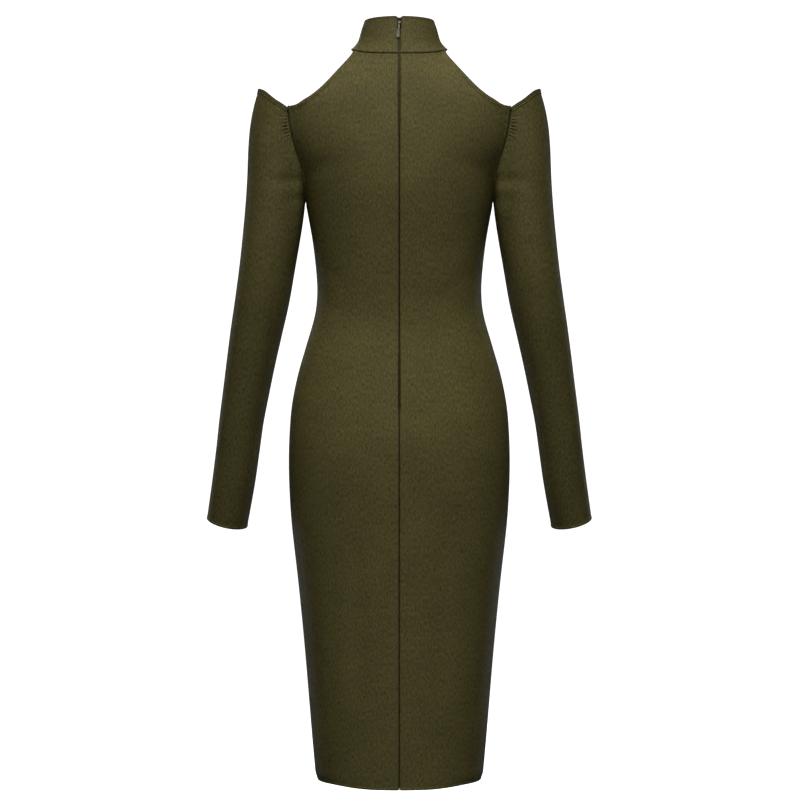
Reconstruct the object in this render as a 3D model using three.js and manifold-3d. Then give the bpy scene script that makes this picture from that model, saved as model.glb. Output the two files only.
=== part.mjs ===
// A bodycon dress, filled out as it is when worn: a stand collar, halter-cut front and back yokes that
// leave the shoulders bare, long sleeves with a free pointed cap, a concealed zip down the centre back and
// a pencil skirt. Millimetres, +Z up. The front faces -Y and the wearer's left side is +X. The origin is
// the middle of the collar's seam at the height of the centre back, where the neck holds the dress.
import * as THREE from 'three';
import { mergeVertices } from 'three/addons/utils/BufferGeometryUtils.js';
import Module from 'manifold-3d';

const radians = THREE.MathUtils.degToRad;

// Driving dimensions. Heights are counted up from the hem.
const NECK_HEIGHT = 1047;
const ARMHOLE_TOP = 971.5;
const UNDERARM = 841;
const ELBOW = 600;
const ZIP_END = 531;
const CLOTH = 2;
const SEAM_GAP = 0.3;
const ZIP_SLOT_HALF_WIDTH = 1.6;
const ZIP_SLOT_TAPER = 4;
const NECK_RING = {
  halfWidth: 70.3,
  halfDepth: 57,
  corner: radians(67),
  sideRise: 13,
  frontDrop: 20,
  backFlatness: 3.5,
};
const ARMHOLE_HALF_DEPTH = 48;
const CAP_PEAK = { x: 203.7, height: 1002 };
const CUFF = { height: 373.2, tilt: 3 };
const HEM = { rise: 3.2, riseStart: 0.2, riseEnd: 0.65, fade: 60, roundedHeight: 9, bandHeight: 27 };
const COLLAR = { topRise: 55.5, frontDip: 13.5, notchDepth: 3, notchHalfWidth: 5.5 };

// The side seams, from the hem to the underarm. The hem's corners are rounded off.
const SIDE_LINE = [
  { height: 0, halfWidth: 117.5 },
  { height: 9, halfWidth: 120.8 },
  { height: 23, halfWidth: 122.4 },
  { height: 110, halfWidth: 129.7 },
  { height: 197, halfWidth: 137 },
  { height: 284, halfWidth: 145.6 },
  { height: 371, halfWidth: 155.4 },
  { height: 415, halfWidth: 158.5 },
  { height: 458, halfWidth: 159.8 },
  { height: 502, halfWidth: 158.8 },
  { height: 545, halfWidth: 155.2 },
  { height: 589, halfWidth: 146.5 },
  { height: 632, halfWidth: 134.1 },
  { height: 676, halfWidth: 121.8 },
  { height: 708, halfWidth: 118.6 },
  { height: 741, halfWidth: 120.4 },
  { height: 784, halfWidth: 125.6 },
  { height: 841, halfWidth: 136 },
];

// The centre back, from the hem to the collar seam: how far it stands behind the side seams.
const BACK_LINE = [
  { height: 0, depth: 88.5 },
  { height: 110, depth: 94.5 },
  { height: 240, depth: 100 },
  { height: 371, depth: 106.5 },
  { height: 440, depth: 110.5 },
  { height: 490, depth: 110.5 },
  { height: 540, depth: 104.5 },
  { height: 600, depth: 94 },
  { height: 650, depth: 85 },
  { height: 675, depth: 83.3 },
  { height: 700, depth: 84 },
  { height: 750, depth: 88 },
  { height: 800, depth: 92.5 },
  { height: 860, depth: 96.5 },
  { height: 915, depth: 93 },
  { height: 970, depth: 83 },
  { height: 1010, depth: 72 },
  { height: 1047, depth: 57 },
];

// The centre front, from the hem to the collar seam: how far it stands before the side seams.
const FRONT_LINE = [
  { height: 0, depth: 88 },
  { height: 110, depth: 92 },
  { height: 284, depth: 97 },
  { height: 480, depth: 101 },
  { height: 600, depth: 97 },
  { height: 700, depth: 90 },
  { height: 750, depth: 96 },
  { height: 810, depth: 107 },
  { height: 860, depth: 105 },
  { height: 915, depth: 93 },
  { height: 970, depth: 77 },
  { height: 1000, depth: 67 },
  { height: 1027, depth: 57 },
];

// How square the cross-sections are: 2 is an ellipse.
const SQUARENESS = [
  { height: 0, power: 2 },
  { height: 458, power: 2.25 },
  { height: 708, power: 2.15 },
  { height: 841, power: 2.1 },
  { height: 970, power: 2 },
  { height: 1047, power: 2 },
];

// The armhole seam as seen from behind, from the underarm to the top of the armhole.
const ARMHOLE_LINE = [
  { height: 841, x: 136 },
  { height: 862, x: 136.3 },
  { height: 886, x: 139.3 },
  { height: 909, x: 147.4 },
  { height: 929, x: 153.3 },
  { height: 950, x: 157.2 },
  { height: 971.5, x: 160.3 },
];

// The free halter edge as seen from behind, by the share of the way up from the armhole (0) to the collar
// (1). It leaves the armhole's corner nearly level.
const HALTER_EDGE = [
  { share: 0, x: 160.3 },
  { share: 0.026, x: 148.3 },
  { share: 0.098, x: 138.5 },
  { share: 0.187, x: 126.4 },
  { share: 0.304, x: 114.2 },
  { share: 0.432, x: 103.6 },
  { share: 0.631, x: 89.1 },
  { share: 0.877, x: 71 },
  { share: 1, x: NECK_RING.halfWidth * Math.sin(NECK_RING.corner) },
];

// How fast the whole cross-section of the yokes widens upwards, at the armhole and at the collar.
const YOKE_WIDENING = { armhole: 0.5, collar: -1 };

// The sleeve's free cap edge as seen from behind, from the armhole's corner (0) to the peak (1).
const CAP_LINE = [
  { across: 0, up: 0 },
  { across: 0.2, up: 0.2 },
  { across: 0.38, up: 0.37 },
  { across: 0.56, up: 0.58 },
  { across: 0.75, up: 0.815 },
  { across: 0.9, up: 0.945 },
  { across: 1, up: 1 },
];

// The left sleeve's cross-sections, by the height of their centre. The forearm reaches forward.
const SLEEVE_SECTIONS = [
  { height: 373, x: 254.4, y: -73.5, halfWidth: 30.6, halfDepth: 31 },
  { height: 434, x: 243.7, y: -57, halfWidth: 31.7, halfDepth: 31.8 },
  { height: 479, x: 237, y: -46, halfWidth: 32, halfDepth: 32.4 },
  { height: 523, x: 230.9, y: -36, halfWidth: 32.6, halfDepth: 33.4 },
  { height: 567, x: 223.3, y: -27, halfWidth: 34, halfDepth: 35 },
  { height: 610, x: 215.7, y: -18.5, halfWidth: 35.7, halfDepth: 37 },
  { height: 654, x: 207.4, y: -11, halfWidth: 37.7, halfDepth: 39.8 },
  { height: 697, x: 199, y: -5, halfWidth: 39.4, halfDepth: 42.6 },
  { height: 741, x: 192, y: -1.5, halfWidth: 40.3, halfDepth: 45 },
  { height: 784, x: 186.1, y: 0, halfWidth: 41.5, halfDepth: 46.6 },
  { height: 828, x: 181.3, y: 0, halfWidth: 42.2, halfDepth: 47.8 },
  { height: 870, x: 178.3, y: 0, halfWidth: 42.4, halfDepth: 48.7 },
  { height: 915, x: 175, y: 0, halfWidth: 44.1, halfDepth: 49 },
  { height: 944, x: 171, y: 0, halfWidth: 46.4, halfDepth: 48.8 },
  { height: 970, x: 166, y: 0, halfWidth: 47.2, halfDepth: 48 },
  { height: 1002, x: 160, y: 0, halfWidth: 44.8, halfDepth: 46 },
];

// The collar's rings, by the share of its height. They narrow quickly at first, so that its lower edge
// flares.
const COLLAR_SECTIONS = [
  { share: 0, halfWidth: 70, halfDepth: 57, centre: 0 },
  { share: 0.12, halfWidth: 64.8, halfDepth: 54.8, centre: -0.8 },
  { share: 0.3, halfWidth: 59.8, halfDepth: 52.8, centre: -2.8 },
  { share: 0.6, halfWidth: 56.2, halfDepth: 51.6, centre: -6 },
  { share: 0.85, halfWidth: 53.2, halfDepth: 51, centre: -8 },
  { share: 1, halfWidth: 50.4, halfDepth: 50.4, centre: -9 },
];

// The largest folds and cups: shallow lengthwise troughs in the back of the skirt, and the room for the
// bust.
const SKIRT_TROUGH = { x: 62, halfWidth: 17, depth: 2.5, low: 60, high: 470 };
const CUP = { x: 68, height: 812, halfWidth: 46, halfHeight: 52, depth: 15 };

// How finely each piece is divided.
const BACK_COLUMNS = 12;
const FRONT_COLUMNS = 11;
const COLLAR_SIDE_COLUMNS = 4;
const SKIRT_ROWS = 14;
const BODICE_ROWS = 11;
const ARMHOLE_ROWS = 9;
const YOKE_ROWS = 7;
const YOKE_CROWDING = 1.6;
const CAP_COLUMNS = 7;
const UPPER_SLEEVE_ROWS = 15;
const FOREARM_ROWS = 7;

// The zip. Its tapes lie inside the opening and their folded edges meet in the slot.
const ZIP_TAPE = { width: 10, thickness: 1, clearance: 0.6, foldDepth: 0.5, foldHalfWidth: 1.3 };
const SLIDER = {
  height: 46,
  halfWidth: 2.5,
  halfLength: 4,
  thickness: 1.1,
  lugInner: 1.65,
  lugOuter: 2.4,
  lugHalfLength: 1.3,
};
const PIN = { radius: 0.55, clearance: 0.3, wall: 0.5 };
const PULL = {
  length: 22,
  topHalfWidth: 1.1,
  halfWidth: 2.5,
  shoulderLow: 3,
  widestStart: 8,
  thickness: 1,
  lean: radians(-6),
};
const LUG_HEIGHT_ABOVE_PIN = 0.9;
const ROUND_SEGMENTS = 16;
const TIP_SEGMENTS = 8;
const MERGE_DISTANCE = 1e-4;

const OLIVE = { color: 0x4a4728, roughness: 0.75, metalness: 0 };
const TAPE_GREEN = { color: 0x3d3c24, roughness: 0.8, metalness: 0 };
const NICKEL = { color: 0xb9b5a6, roughness: 0.35, metalness: 1 };

// A smooth curve through one column of a table: cubic pieces whose slopes come from the neighbouring rows.
function curve(rows, along, column) {
  const slope = (i) => {
    const before = rows[Math.max(i - 1, 0)];
    const after = rows[Math.min(i + 1, rows.length - 1)];
    return (after[column] - before[column]) / (after[along] - before[along]);
  };
  return (at) => {
    let i = 0;
    while (i < rows.length - 2 && at > rows[i + 1][along]) i += 1;
    const step = rows[i + 1][along] - rows[i][along];
    const t = (at - rows[i][along]) / step;
    const ends = rows[i][column] * (1 + 2 * t) * (1 - t) ** 2 + rows[i + 1][column] * (3 - 2 * t) * t ** 2;
    return ends + step * (slope(i) * t * (1 - t) ** 2 - slope(i + 1) * (1 - t) * t ** 2);
  };
}

const sideHalfWidth = curve(SIDE_LINE, 'height', 'halfWidth');
const backDepth = curve(BACK_LINE, 'height', 'depth');
const frontDepth = curve(FRONT_LINE, 'height', 'depth');
const squareness = curve(SQUARENESS, 'height', 'power');
const armholeX = curve(ARMHOLE_LINE, 'height', 'x');
const halterX = curve(HALTER_EDGE, 'share', 'x');

const bell = (distance, halfWidth) => Math.exp(-((distance / halfWidth) ** 2));

// Even steps from one value up to, but without, another.
function evenSteps(from, to, count) {
  return Array.from({ length: count }, (_, i) => from + ((to - from) * i) / count);
}

// The height of a point of the armhole, which is a quarter ellipse seen from the side: turn is 0 at its
// top and a right angle at the underarm.
const armholeHeight = (turn) => ARMHOLE_TOP - (ARMHOLE_TOP - UNDERARM) * Math.sin(turn);

// Where a panel is sewn to its neighbour at a level: at the side seam, and above it at the armhole.
function seamEdge(level) {
  if (level <= UNDERARM) return { x: sideHalfWidth(level), y: 0 };
  const turn = Math.asin((ARMHOLE_TOP - level) / (ARMHOLE_TOP - UNDERARM));
  return { x: armholeX(level), y: ARMHOLE_HALF_DEPTH * Math.cos(turn) };
}

// The half width that the yokes would have if they weren't cut back to the halter edge. It leads smoothly
// from the armhole's top to the collar seam.
function yokeHalfWidth(share, atArmhole) {
  const rise = NECK_HEIGHT - ARMHOLE_TOP;
  const start = atArmhole * (1 + 2 * share) + YOKE_WIDENING.armhole * rise * share;
  const end = NECK_RING.halfWidth * (3 - 2 * share) - YOKE_WIDENING.collar * rise * (1 - share);
  return start * (1 - share) ** 2 + end * share ** 2;
}

// The collar seam's height over the origin, by the turn from the centre back. It is nearly level behind,
// rises to the sides of the neck and drops at the front.
function neckSeam(turn) {
  const first = NECK_RING.frontDrop / 2;
  const second = (NECK_RING.sideRise + first) / 2;
  const third = NECK_RING.backFlatness;
  const sideways = second * Math.cos(2 * turn);
  return second - first + (first - third) * Math.cos(turn) - sideways + third * Math.cos(3 * turn);
}

// A point of the torso. face is 1 for the back and -1 for the front, share runs from the centre line (0)
// to the edge (1), and level is the height at the centre back. Levels above the armhole bend with the
// collar seam.
function torsoPoint(face, share, level) {
  const yoke = Math.max(0, (level - ARMHOLE_TOP) / (NECK_HEIGHT - ARMHOLE_TOP));
  const centreTurn = face > 0 ? 0 : Math.PI;
  const centreDepth = face > 0 ? backDepth : frontDepth;
  const depth = centreDepth(level + neckSeam(centreTurn) * yoke);
  const power = squareness(level);
  const sewnLevel = Math.min(level, ARMHOLE_TOP);
  const edge = seamEdge(sewnLevel);
  const atSeam = edge.x / (1 - (edge.y / centreDepth(sewnLevel)) ** power) ** (1 / power);
  const halfWidth = yoke > 0 ? yokeHalfWidth(yoke, atSeam) : atSeam;
  const edgeX = yoke > 0 ? halterX(yoke) : edge.x;
  const angle = Math.asin((edgeX / halfWidth) ** (power / 2)) * share;
  const x = halfWidth * Math.max(0, Math.sin(angle)) ** (2 / power);
  let y = depth * Math.max(0, Math.cos(angle)) ** (2 / power);
  const towardsEdge = 1 - share ** 4;
  if (face > 0 && level > SKIRT_TROUGH.low && level < SKIRT_TROUGH.high) {
    const along = (level - SKIRT_TROUGH.low) / (SKIRT_TROUGH.high - SKIRT_TROUGH.low);
    y -= SKIRT_TROUGH.depth * Math.sin(Math.PI * along) ** 2 * bell(x - SKIRT_TROUGH.x, SKIRT_TROUGH.halfWidth);
  }
  if (face < 0) {
    y += CUP.depth * towardsEdge * bell(x - CUP.x, CUP.halfWidth) * bell(level - CUP.height, CUP.halfHeight);
  }
  const seam = neckSeam(centreTurn + face * NECK_RING.corner * share);
  const hemRise = HEM.rise * THREE.MathUtils.smoothstep(share, HEM.riseStart, HEM.riseEnd);
  const height = level + seam * yoke + hemRise * Math.max(0, 1 - level / HEM.fade);
  return new THREE.Vector3(x, face * Math.max(y, SEAM_GAP / 2), height - NECK_HEIGHT);
}

// The direction square to a grid of points at one of them, from its neighbours.
function gridNormal(grid, row, column, closed) {
  const columns = grid[0].length;
  const wrap = (i) => (closed ? (i + columns) % columns : Math.min(Math.max(i, 0), columns - 1));
  const across = grid[row][wrap(column + 1)].clone().sub(grid[row][wrap(column - 1)]);
  const up = grid[Math.min(row + 1, grid.length - 1)][column].clone().sub(grid[Math.max(row - 1, 0)][column]);
  return across.cross(up).normalize();
}

// A thin closed wall: a grid of outer points, the same grid moved in by the cloth's thickness, and the
// rims between. squareUp(row, column, normal) may turn the normal along a seam, so that the rim lies in
// the seam's plane.
function clothGeometry(grid, { closed = false, inward = 1, squareUp = () => {} } = {}) {
  const rows = grid.length;
  const columns = grid[0].length;
  const positions = [];
  grid.forEach((line) => line.forEach((point) => positions.push(...point.toArray())));
  grid.forEach((line, row) => line.forEach((point, column) => {
    const normal = gridNormal(grid, row, column, closed).multiplyScalar(inward);
    squareUp(row, column, normal);
    positions.push(...point.clone().addScaledVector(normal.normalize(), -CLOTH).toArray());
  }));
  const outer = (row, column) => row * columns + (column % columns);
  const inner = (row, column) => rows * columns + outer(row, column);
  const index = [];
  const quad = (a, b, c, d) => (inward > 0 ? index.push(a, b, c, a, c, d) : index.push(a, c, b, a, d, c));
  const lastColumn = closed ? columns : columns - 1;
  for (let row = 0; row < rows - 1; row += 1) {
    for (let column = 0; column < lastColumn; column += 1) {
      quad(outer(row, column), outer(row, column + 1), outer(row + 1, column + 1), outer(row + 1, column));
      quad(inner(row, column), inner(row + 1, column), inner(row + 1, column + 1), inner(row, column + 1));
    }
    if (!closed) {
      quad(outer(row, 0), outer(row + 1, 0), inner(row + 1, 0), inner(row, 0));
      const end = lastColumn;
      quad(outer(row, end), inner(row, end), inner(row + 1, end), outer(row + 1, end));
    }
  }
  for (let column = 0; column < lastColumn; column += 1) {
    quad(outer(0, column), inner(0, column), inner(0, column + 1), outer(0, column + 1));
    const top = rows - 1;
    quad(outer(top, column), outer(top, column + 1), inner(top, column + 1), inner(top, column));
  }
  const geometry = new THREE.BufferGeometry();
  geometry.setAttribute('position', new THREE.Float32BufferAttribute(positions, 3));
  geometry.setIndex(index);
  return geometry;
}

const dress = new THREE.Group();

function addMesh(name, geometry, finish) {
  const mesh = new THREE.Mesh(geometry, new THREE.MeshStandardMaterial(finish));
  mesh.name = name;
  dress.add(mesh);
  return mesh;
}

// The levels of the panels' rows. The armhole's rows are spaced evenly round its curve, and the sleeve's
// columns start from the same points.
const ARMHOLE_TURNS = evenSteps(Math.PI / 2, 0, ARMHOLE_ROWS);
const yokeLevel = (share) => ARMHOLE_TOP + (NECK_HEIGHT - ARMHOLE_TOP) * share ** YOKE_CROWDING;
const LEVELS = [
  0,
  HEM.roundedHeight,
  ...evenSteps(HEM.bandHeight, ZIP_END, SKIRT_ROWS),
  ZIP_END,
  ...evenSteps(ZIP_END + ZIP_SLOT_TAPER, UNDERARM, BODICE_ROWS),
  ...ARMHOLE_TURNS.map(armholeHeight),
  ...evenSteps(0, 1, YOKE_ROWS).map(yokeLevel),
  NECK_HEIGHT,
];

// The back is two panels, parted by the zip above and sewn together below it.
const BACK_SHARES = [...evenSteps(0, 1, BACK_COLUMNS), 1];
const slotHalfWidth = (level) => (level > ZIP_END ? ZIP_SLOT_HALF_WIDTH : SEAM_GAP / 2);

function addBackPanel(name, side) {
  const grid = LEVELS.map((level) => BACK_SHARES.map((share) => {
    const point = torsoPoint(1, share, level);
    point.x = side * Math.max(point.x, slotHalfWidth(level));
    return point;
  }));
  const squareUp = (row, column, normal) => {
    if (column === 0) normal.x = 0;
    if (column === BACK_COLUMNS && LEVELS[row] <= UNDERARM) normal.y = 0;
  };
  addMesh(name, clothGeometry(grid, { inward: -side, squareUp }), OLIVE);
}

addBackPanel('back_panel_left', 1);
addBackPanel('back_panel_right', -1);

// The front is one panel from side seam to side seam.
const FRONT_SHARES = [...evenSteps(-1, 1, 2 * FRONT_COLUMNS), 1];

function addFrontPanel() {
  const grid = LEVELS.map((level) => FRONT_SHARES.map((share) => {
    const point = torsoPoint(-1, Math.abs(share), level);
    point.x *= Math.sign(share);
    return point;
  }));
  const squareUp = (row, column, normal) => {
    const atSide = column === 0 || column === 2 * FRONT_COLUMNS;
    if (atSide && LEVELS[row] <= UNDERARM) normal.y = 0;
  };
  addMesh('front_panel', clothGeometry(grid, { squareUp }), OLIVE);
}

addFrontPanel();

// The collar is one band, open at the centre back. Its columns meet those of the panels below, and between
// the two halter edges its lower edge hangs free.
const COLLAR_TURNS = [
  ...BACK_SHARES.map((share) => share * NECK_RING.corner),
  ...evenSteps(NECK_RING.corner, Math.PI - NECK_RING.corner, COLLAR_SIDE_COLUMNS).slice(1),
  ...FRONT_SHARES.slice(0, FRONT_COLUMNS + 1).map((share) => Math.PI + share * NECK_RING.corner),
];
const collarHalfWidth = curve(COLLAR_SECTIONS, 'share', 'halfWidth');
const collarHalfDepth = curve(COLLAR_SECTIONS, 'share', 'halfDepth');
const collarCentre = curve(COLLAR_SECTIONS, 'share', 'centre');

function collarPoint(turn, share) {
  const x = Math.max(ZIP_SLOT_HALF_WIDTH, collarHalfWidth(share) * Math.sin(turn));
  const y = collarCentre(share) + collarHalfDepth(share) * Math.cos(turn);
  const frontness = (1 - Math.cos(turn)) / 2;
  const notch = y > 0 ? COLLAR.notchDepth * Math.max(0, 1 - x / COLLAR.notchHalfWidth) : 0;
  const top = COLLAR.topRise - COLLAR.frontDip * frontness ** 4 - notch;
  const bottom = neckSeam(turn) + SEAM_GAP;
  return new THREE.Vector3(x, y, bottom + (top - bottom) * share);
}

function addCollar() {
  const halfTurns = COLLAR_TURNS.slice(0, -1);
  const grid = COLLAR_SECTIONS.map(({ share }) => {
    const left = halfTurns.map((turn) => collarPoint(turn, share));
    const right = left.map((point) => new THREE.Vector3(-point.x, point.y, point.z)).reverse();
    const front = collarPoint(Math.PI, share);
    front.x = 0;
    return [...left, front, ...right];
  });
  const squareUp = (row, column, normal) => {
    if (column === 0 || column === grid[0].length - 1) normal.x = 0;
    if (row === 0) normal.z = 0;
  };
  addMesh('collar', clothGeometry(grid, { inward: -1, squareUp }), OLIVE);
}

addCollar();

// The sleeves. A sleeve is a tube round a bent axis, cut off by the armhole seam and by the cap's free
// edge.
const sleeveX = curve(SLEEVE_SECTIONS, 'height', 'x');
const sleeveY = curve(SLEEVE_SECTIONS, 'height', 'y');
const sleeveHalfWidth = curve(SLEEVE_SECTIONS, 'height', 'halfWidth');
const sleeveHalfDepth = curve(SLEEVE_SECTIONS, 'height', 'halfDepth');
const CORNER_TURN = radians(100);
const OFFSET_REACH = 90;
const ROW_CROWDING = 1.35;
const STATION_STEPS = 6;

const sleeveAxis = (height) => new THREE.Vector3(sleeveX(height), sleeveY(height), height - NECK_HEIGHT);
const sleeveDirection = (height) => sleeveAxis(height - 1).sub(sleeveAxis(height + 1)).normalize();

// A point of the uncut tube: turn is 0 on the outside of the arm and a right angle at its back.
function tubePoint(height, turn) {
  const down = sleeveDirection(height);
  const outward = new THREE.Vector3(1, 0, 0);
  outward.addScaledVector(down, -outward.dot(down)).normalize();
  const backward = outward.clone().cross(down);
  return sleeveAxis(height)
    .addScaledVector(outward, sleeveHalfWidth(height) * Math.cos(turn))
    .addScaledVector(backward, sleeveHalfDepth(height) * Math.sin(turn));
}

// The height of the section that a point lies in, found by stepping along the axis.
function stationOf(point) {
  let height = point.z + NECK_HEIGHT;
  for (let i = 0; i < STATION_STEPS; i += 1) {
    const down = sleeveDirection(height);
    height -= point.clone().sub(sleeveAxis(height)).dot(down);
  }
  return height;
}

// The sleeve's upper edge, half way round: first the free cap edge from its peak to the armhole's corner,
// then the armhole seam down to the underarm.
const capRise = curve(CAP_LINE, 'across', 'up');
const CAP_EDGE = evenSteps(0, 1, CAP_COLUMNS).map((share) => {
  const turn = (share * Math.PI) / 2;
  const corner = armholeX(ARMHOLE_TOP);
  const x = corner + (CAP_PEAK.x - corner) * Math.cos(turn) + SEAM_GAP;
  const height = ARMHOLE_TOP + (CAP_PEAK.height - ARMHOLE_TOP) * capRise(Math.cos(turn));
  const point = new THREE.Vector3(x, ARMHOLE_HALF_DEPTH * Math.sin(turn), height - NECK_HEIGHT);
  return { turn: share * CORNER_TURN, point };
});
const ARMHOLE_EDGE = [...ARMHOLE_TURNS, 0].reverse().map((turn) => {
  const height = armholeHeight(turn);
  const x = armholeX(height) + SEAM_GAP;
  const point = new THREE.Vector3(x, ARMHOLE_HALF_DEPTH * Math.cos(turn), height - NECK_HEIGHT);
  return { turn: CORNER_TURN + (turn * (Math.PI - CORNER_TURN)) / (Math.PI / 2), point };
});
const BACK_HALF_EDGE = [...CAP_EDGE, ...ARMHOLE_EDGE];
const FRONT_HALF_EDGE = BACK_HALF_EDGE.slice(1, -1).reverse().map(({ turn, point }) => (
  { turn: -turn, point: new THREE.Vector3(point.x, -point.y, point.z) }
));
const SLEEVE_EDGE = [...BACK_HALF_EDGE, ...FRONT_HALF_EDGE];

// A point of the sleeve, by its column and the height of the section that it lies in.
function sleevePoint({ turn, start, offset }, height, side) {
  const fade = 1 - THREE.MathUtils.smoothstep(start - height, 0, OFFSET_REACH);
  const point = tubePoint(height, turn).addScaledVector(offset, fade);
  point.x *= side;
  return point;
}

// A length of the sleeve between two heights of each column. Its rim at the elbow is square to the arm.
function sleeveGeometry(columns, shares, elbowRow, side) {
  const grid = shares.map((share) => columns.map((column) => (
    sleevePoint(column, column.from + (column.to - column.from) * share, side)
  )));
  const down = sleeveDirection(ELBOW);
  down.x *= side;
  const squareUp = (row, column, normal) => {
    if (row === elbowRow) normal.addScaledVector(down, -normal.dot(down));
  };
  return clothGeometry(grid, { closed: true, inward: -side, squareUp });
}

// A sleeve is cut in one piece, but its solid is parted at the elbow, so that each length is nearly
// straight.
function addSleeve(name, side) {
  const columns = SLEEVE_EDGE.map(({ turn, point }) => {
    const start = stationOf(point);
    return { turn, start, offset: point.clone().sub(tubePoint(start, turn)) };
  });
  const upper = columns.map((column) => ({ ...column, from: column.start, to: ELBOW + SEAM_GAP / 2 }));
  const forearm = columns.map((column) => {
    const tilt = (CUFF.tilt * (1 - Math.cos(column.turn))) / 2;
    return { ...column, from: ELBOW - SEAM_GAP / 2, to: CUFF.height - tilt };
  });
  const crowded = [...evenSteps(0, 1, UPPER_SLEEVE_ROWS), 1].map((share) => share ** ROW_CROWDING);
  const even = [...evenSteps(0, 1, FOREARM_ROWS), 1];
  addMesh(name, sleeveGeometry(upper, crowded, UPPER_SLEEVE_ROWS, side), OLIVE);
  addMesh(`${name}_forearm`, sleeveGeometry(forearm, even, 0, side), OLIVE);
}

addSleeve('sleeve_left', 1);
addSleeve('sleeve_right', -1);

// The zip tapes follow the centre back from the end of the opening to the top of the collar.
const COLLAR_ZIP_SHARES = COLLAR_SECTIONS.map(({ share }) => share).slice(1, -1);
const ZIP_SIDE_TURN = radians(10);
const ZIP_LINE = [
  ...LEVELS.filter((level) => level > ZIP_END).map((level) => (
    { middle: torsoPoint(1, 0, level), beside: torsoPoint(1, 1 / BACK_COLUMNS, level) }
  )),
  ...COLLAR_ZIP_SHARES.map((share) => (
    { middle: collarPoint(0, share), beside: collarPoint(ZIP_SIDE_TURN, share) }
  )),
];

function addZipTape(name, side) {
  const inside = CLOTH + ZIP_TAPE.clearance;
  const back = inside + ZIP_TAPE.thickness;
  const section = [
    { x: SEAM_GAP / 2, depth: ZIP_TAPE.foldDepth },
    { x: ZIP_TAPE.foldHalfWidth, depth: ZIP_TAPE.foldDepth },
    { x: ZIP_TAPE.foldHalfWidth, depth: inside },
    { x: ZIP_TAPE.width, depth: inside },
    { x: ZIP_TAPE.width, depth: back },
    { x: SEAM_GAP / 2, depth: back },
  ];
  const positions = [];
  ZIP_LINE.forEach(({ middle, beside }, i) => {
    const before = ZIP_LINE[Math.max(i - 1, 0)].middle;
    const after = ZIP_LINE[Math.min(i + 1, ZIP_LINE.length - 1)].middle;
    const inwards = new THREE.Vector3(0, before.z - after.z, after.y - before.y).normalize();
    const bend = (middle.y - beside.y) / beside.x ** 2;
    section.forEach(({ x, depth }) => {
      const point = middle.clone().addScaledVector(inwards, depth + bend * x ** 2);
      positions.push(side * x, point.y, point.z);
    });
  });
  const count = section.length;
  const index = [];
  const triangle = (a, b, c) => (side > 0 ? index.push(a, b, c) : index.push(a, c, b));
  for (let row = 0; row < ZIP_LINE.length - 1; row += 1) {
    for (let i = 0; i < count; i += 1) {
      const a = row * count + i;
      const b = row * count + ((i + 1) % count);
      triangle(a, b + count, b);
      triangle(a, a + count, b + count);
    }
  }
  const outline = section.map(({ x, depth }) => new THREE.Vector2(x, depth));
  const lastRing = (ZIP_LINE.length - 1) * count;
  THREE.ShapeUtils.triangulateShape(outline, []).forEach(([a, b, c]) => {
    triangle(a, b, c);
    triangle(lastRing + a, lastRing + c, lastRing + b);
  });
  const geometry = new THREE.BufferGeometry();
  geometry.setAttribute('position', new THREE.Float32BufferAttribute(positions, 3));
  geometry.setIndex(index);
  addMesh(name, geometry, TAPE_GREEN);
}

addZipTape('zip_tape_left', 1);
addZipTape('zip_tape_right', -1);

// The slider and its pull tab, joined from plain solids.
const wasm = await Module();
wasm.setup();

function solid(geometry) {
  const bare = geometry.index ? geometry.clone() : geometry;
  bare.deleteAttribute('normal');
  bare.deleteAttribute('uv');
  const merged = mergeVertices(bare, MERGE_DISTANCE);
  const mesh = new wasm.Mesh({
    numProp: 3,
    vertProperties: new Float32Array(merged.attributes.position.array),
    triVerts: new Uint32Array(merged.index.array),
  });
  return new wasm.Manifold(mesh);
}

function geometryOf(manifold) {
  const mesh = manifold.getMesh();
  const geometry = new THREE.BufferGeometry();
  geometry.setAttribute('position', new THREE.Float32BufferAttribute(mesh.vertProperties, 3));
  geometry.setIndex(Array.from(mesh.triVerts));
  return geometry;
}

function barAlongX(radius, length) {
  return new THREE.CylinderGeometry(radius, radius, length, ROUND_SEGMENTS).rotateZ(Math.PI / 2);
}

const BARREL_INNER = PIN.radius + PIN.clearance;
const BARREL_RADIUS = BARREL_INNER + PIN.wall;
const PLATE_TOP = SEAM_GAP + SLIDER.thickness;
const PIN_OUT = PLATE_TOP + PIN.clearance + BARREL_RADIUS;

// The slider's own frame: X across, Y out of the cloth, Z up along it, with its origin on the cloth.
function sliderGeometry() {
  const plate = new THREE.BoxGeometry(2 * SLIDER.halfWidth, SLIDER.thickness, 2 * SLIDER.halfLength)
    .translate(0, SEAM_GAP + SLIDER.thickness / 2, 0);
  const lugTop = PIN_OUT + LUG_HEIGHT_ABOVE_PIN;
  const lugBottom = SEAM_GAP + SLIDER.thickness / 2;
  let body = solid(plate);
  [1, -1].forEach((side) => {
    const width = SLIDER.lugOuter - SLIDER.lugInner;
    const lug = new THREE.BoxGeometry(width, lugTop - lugBottom, 2 * SLIDER.lugHalfLength)
      .translate(side * (SLIDER.lugInner + width / 2), (lugTop + lugBottom) / 2, 0);
    body = body.add(solid(lug));
  });
  const pin = barAlongX(PIN.radius, SLIDER.lugInner + SLIDER.lugOuter).translate(0, PIN_OUT, 0);
  return geometryOf(body.add(solid(pin)));
}

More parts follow.
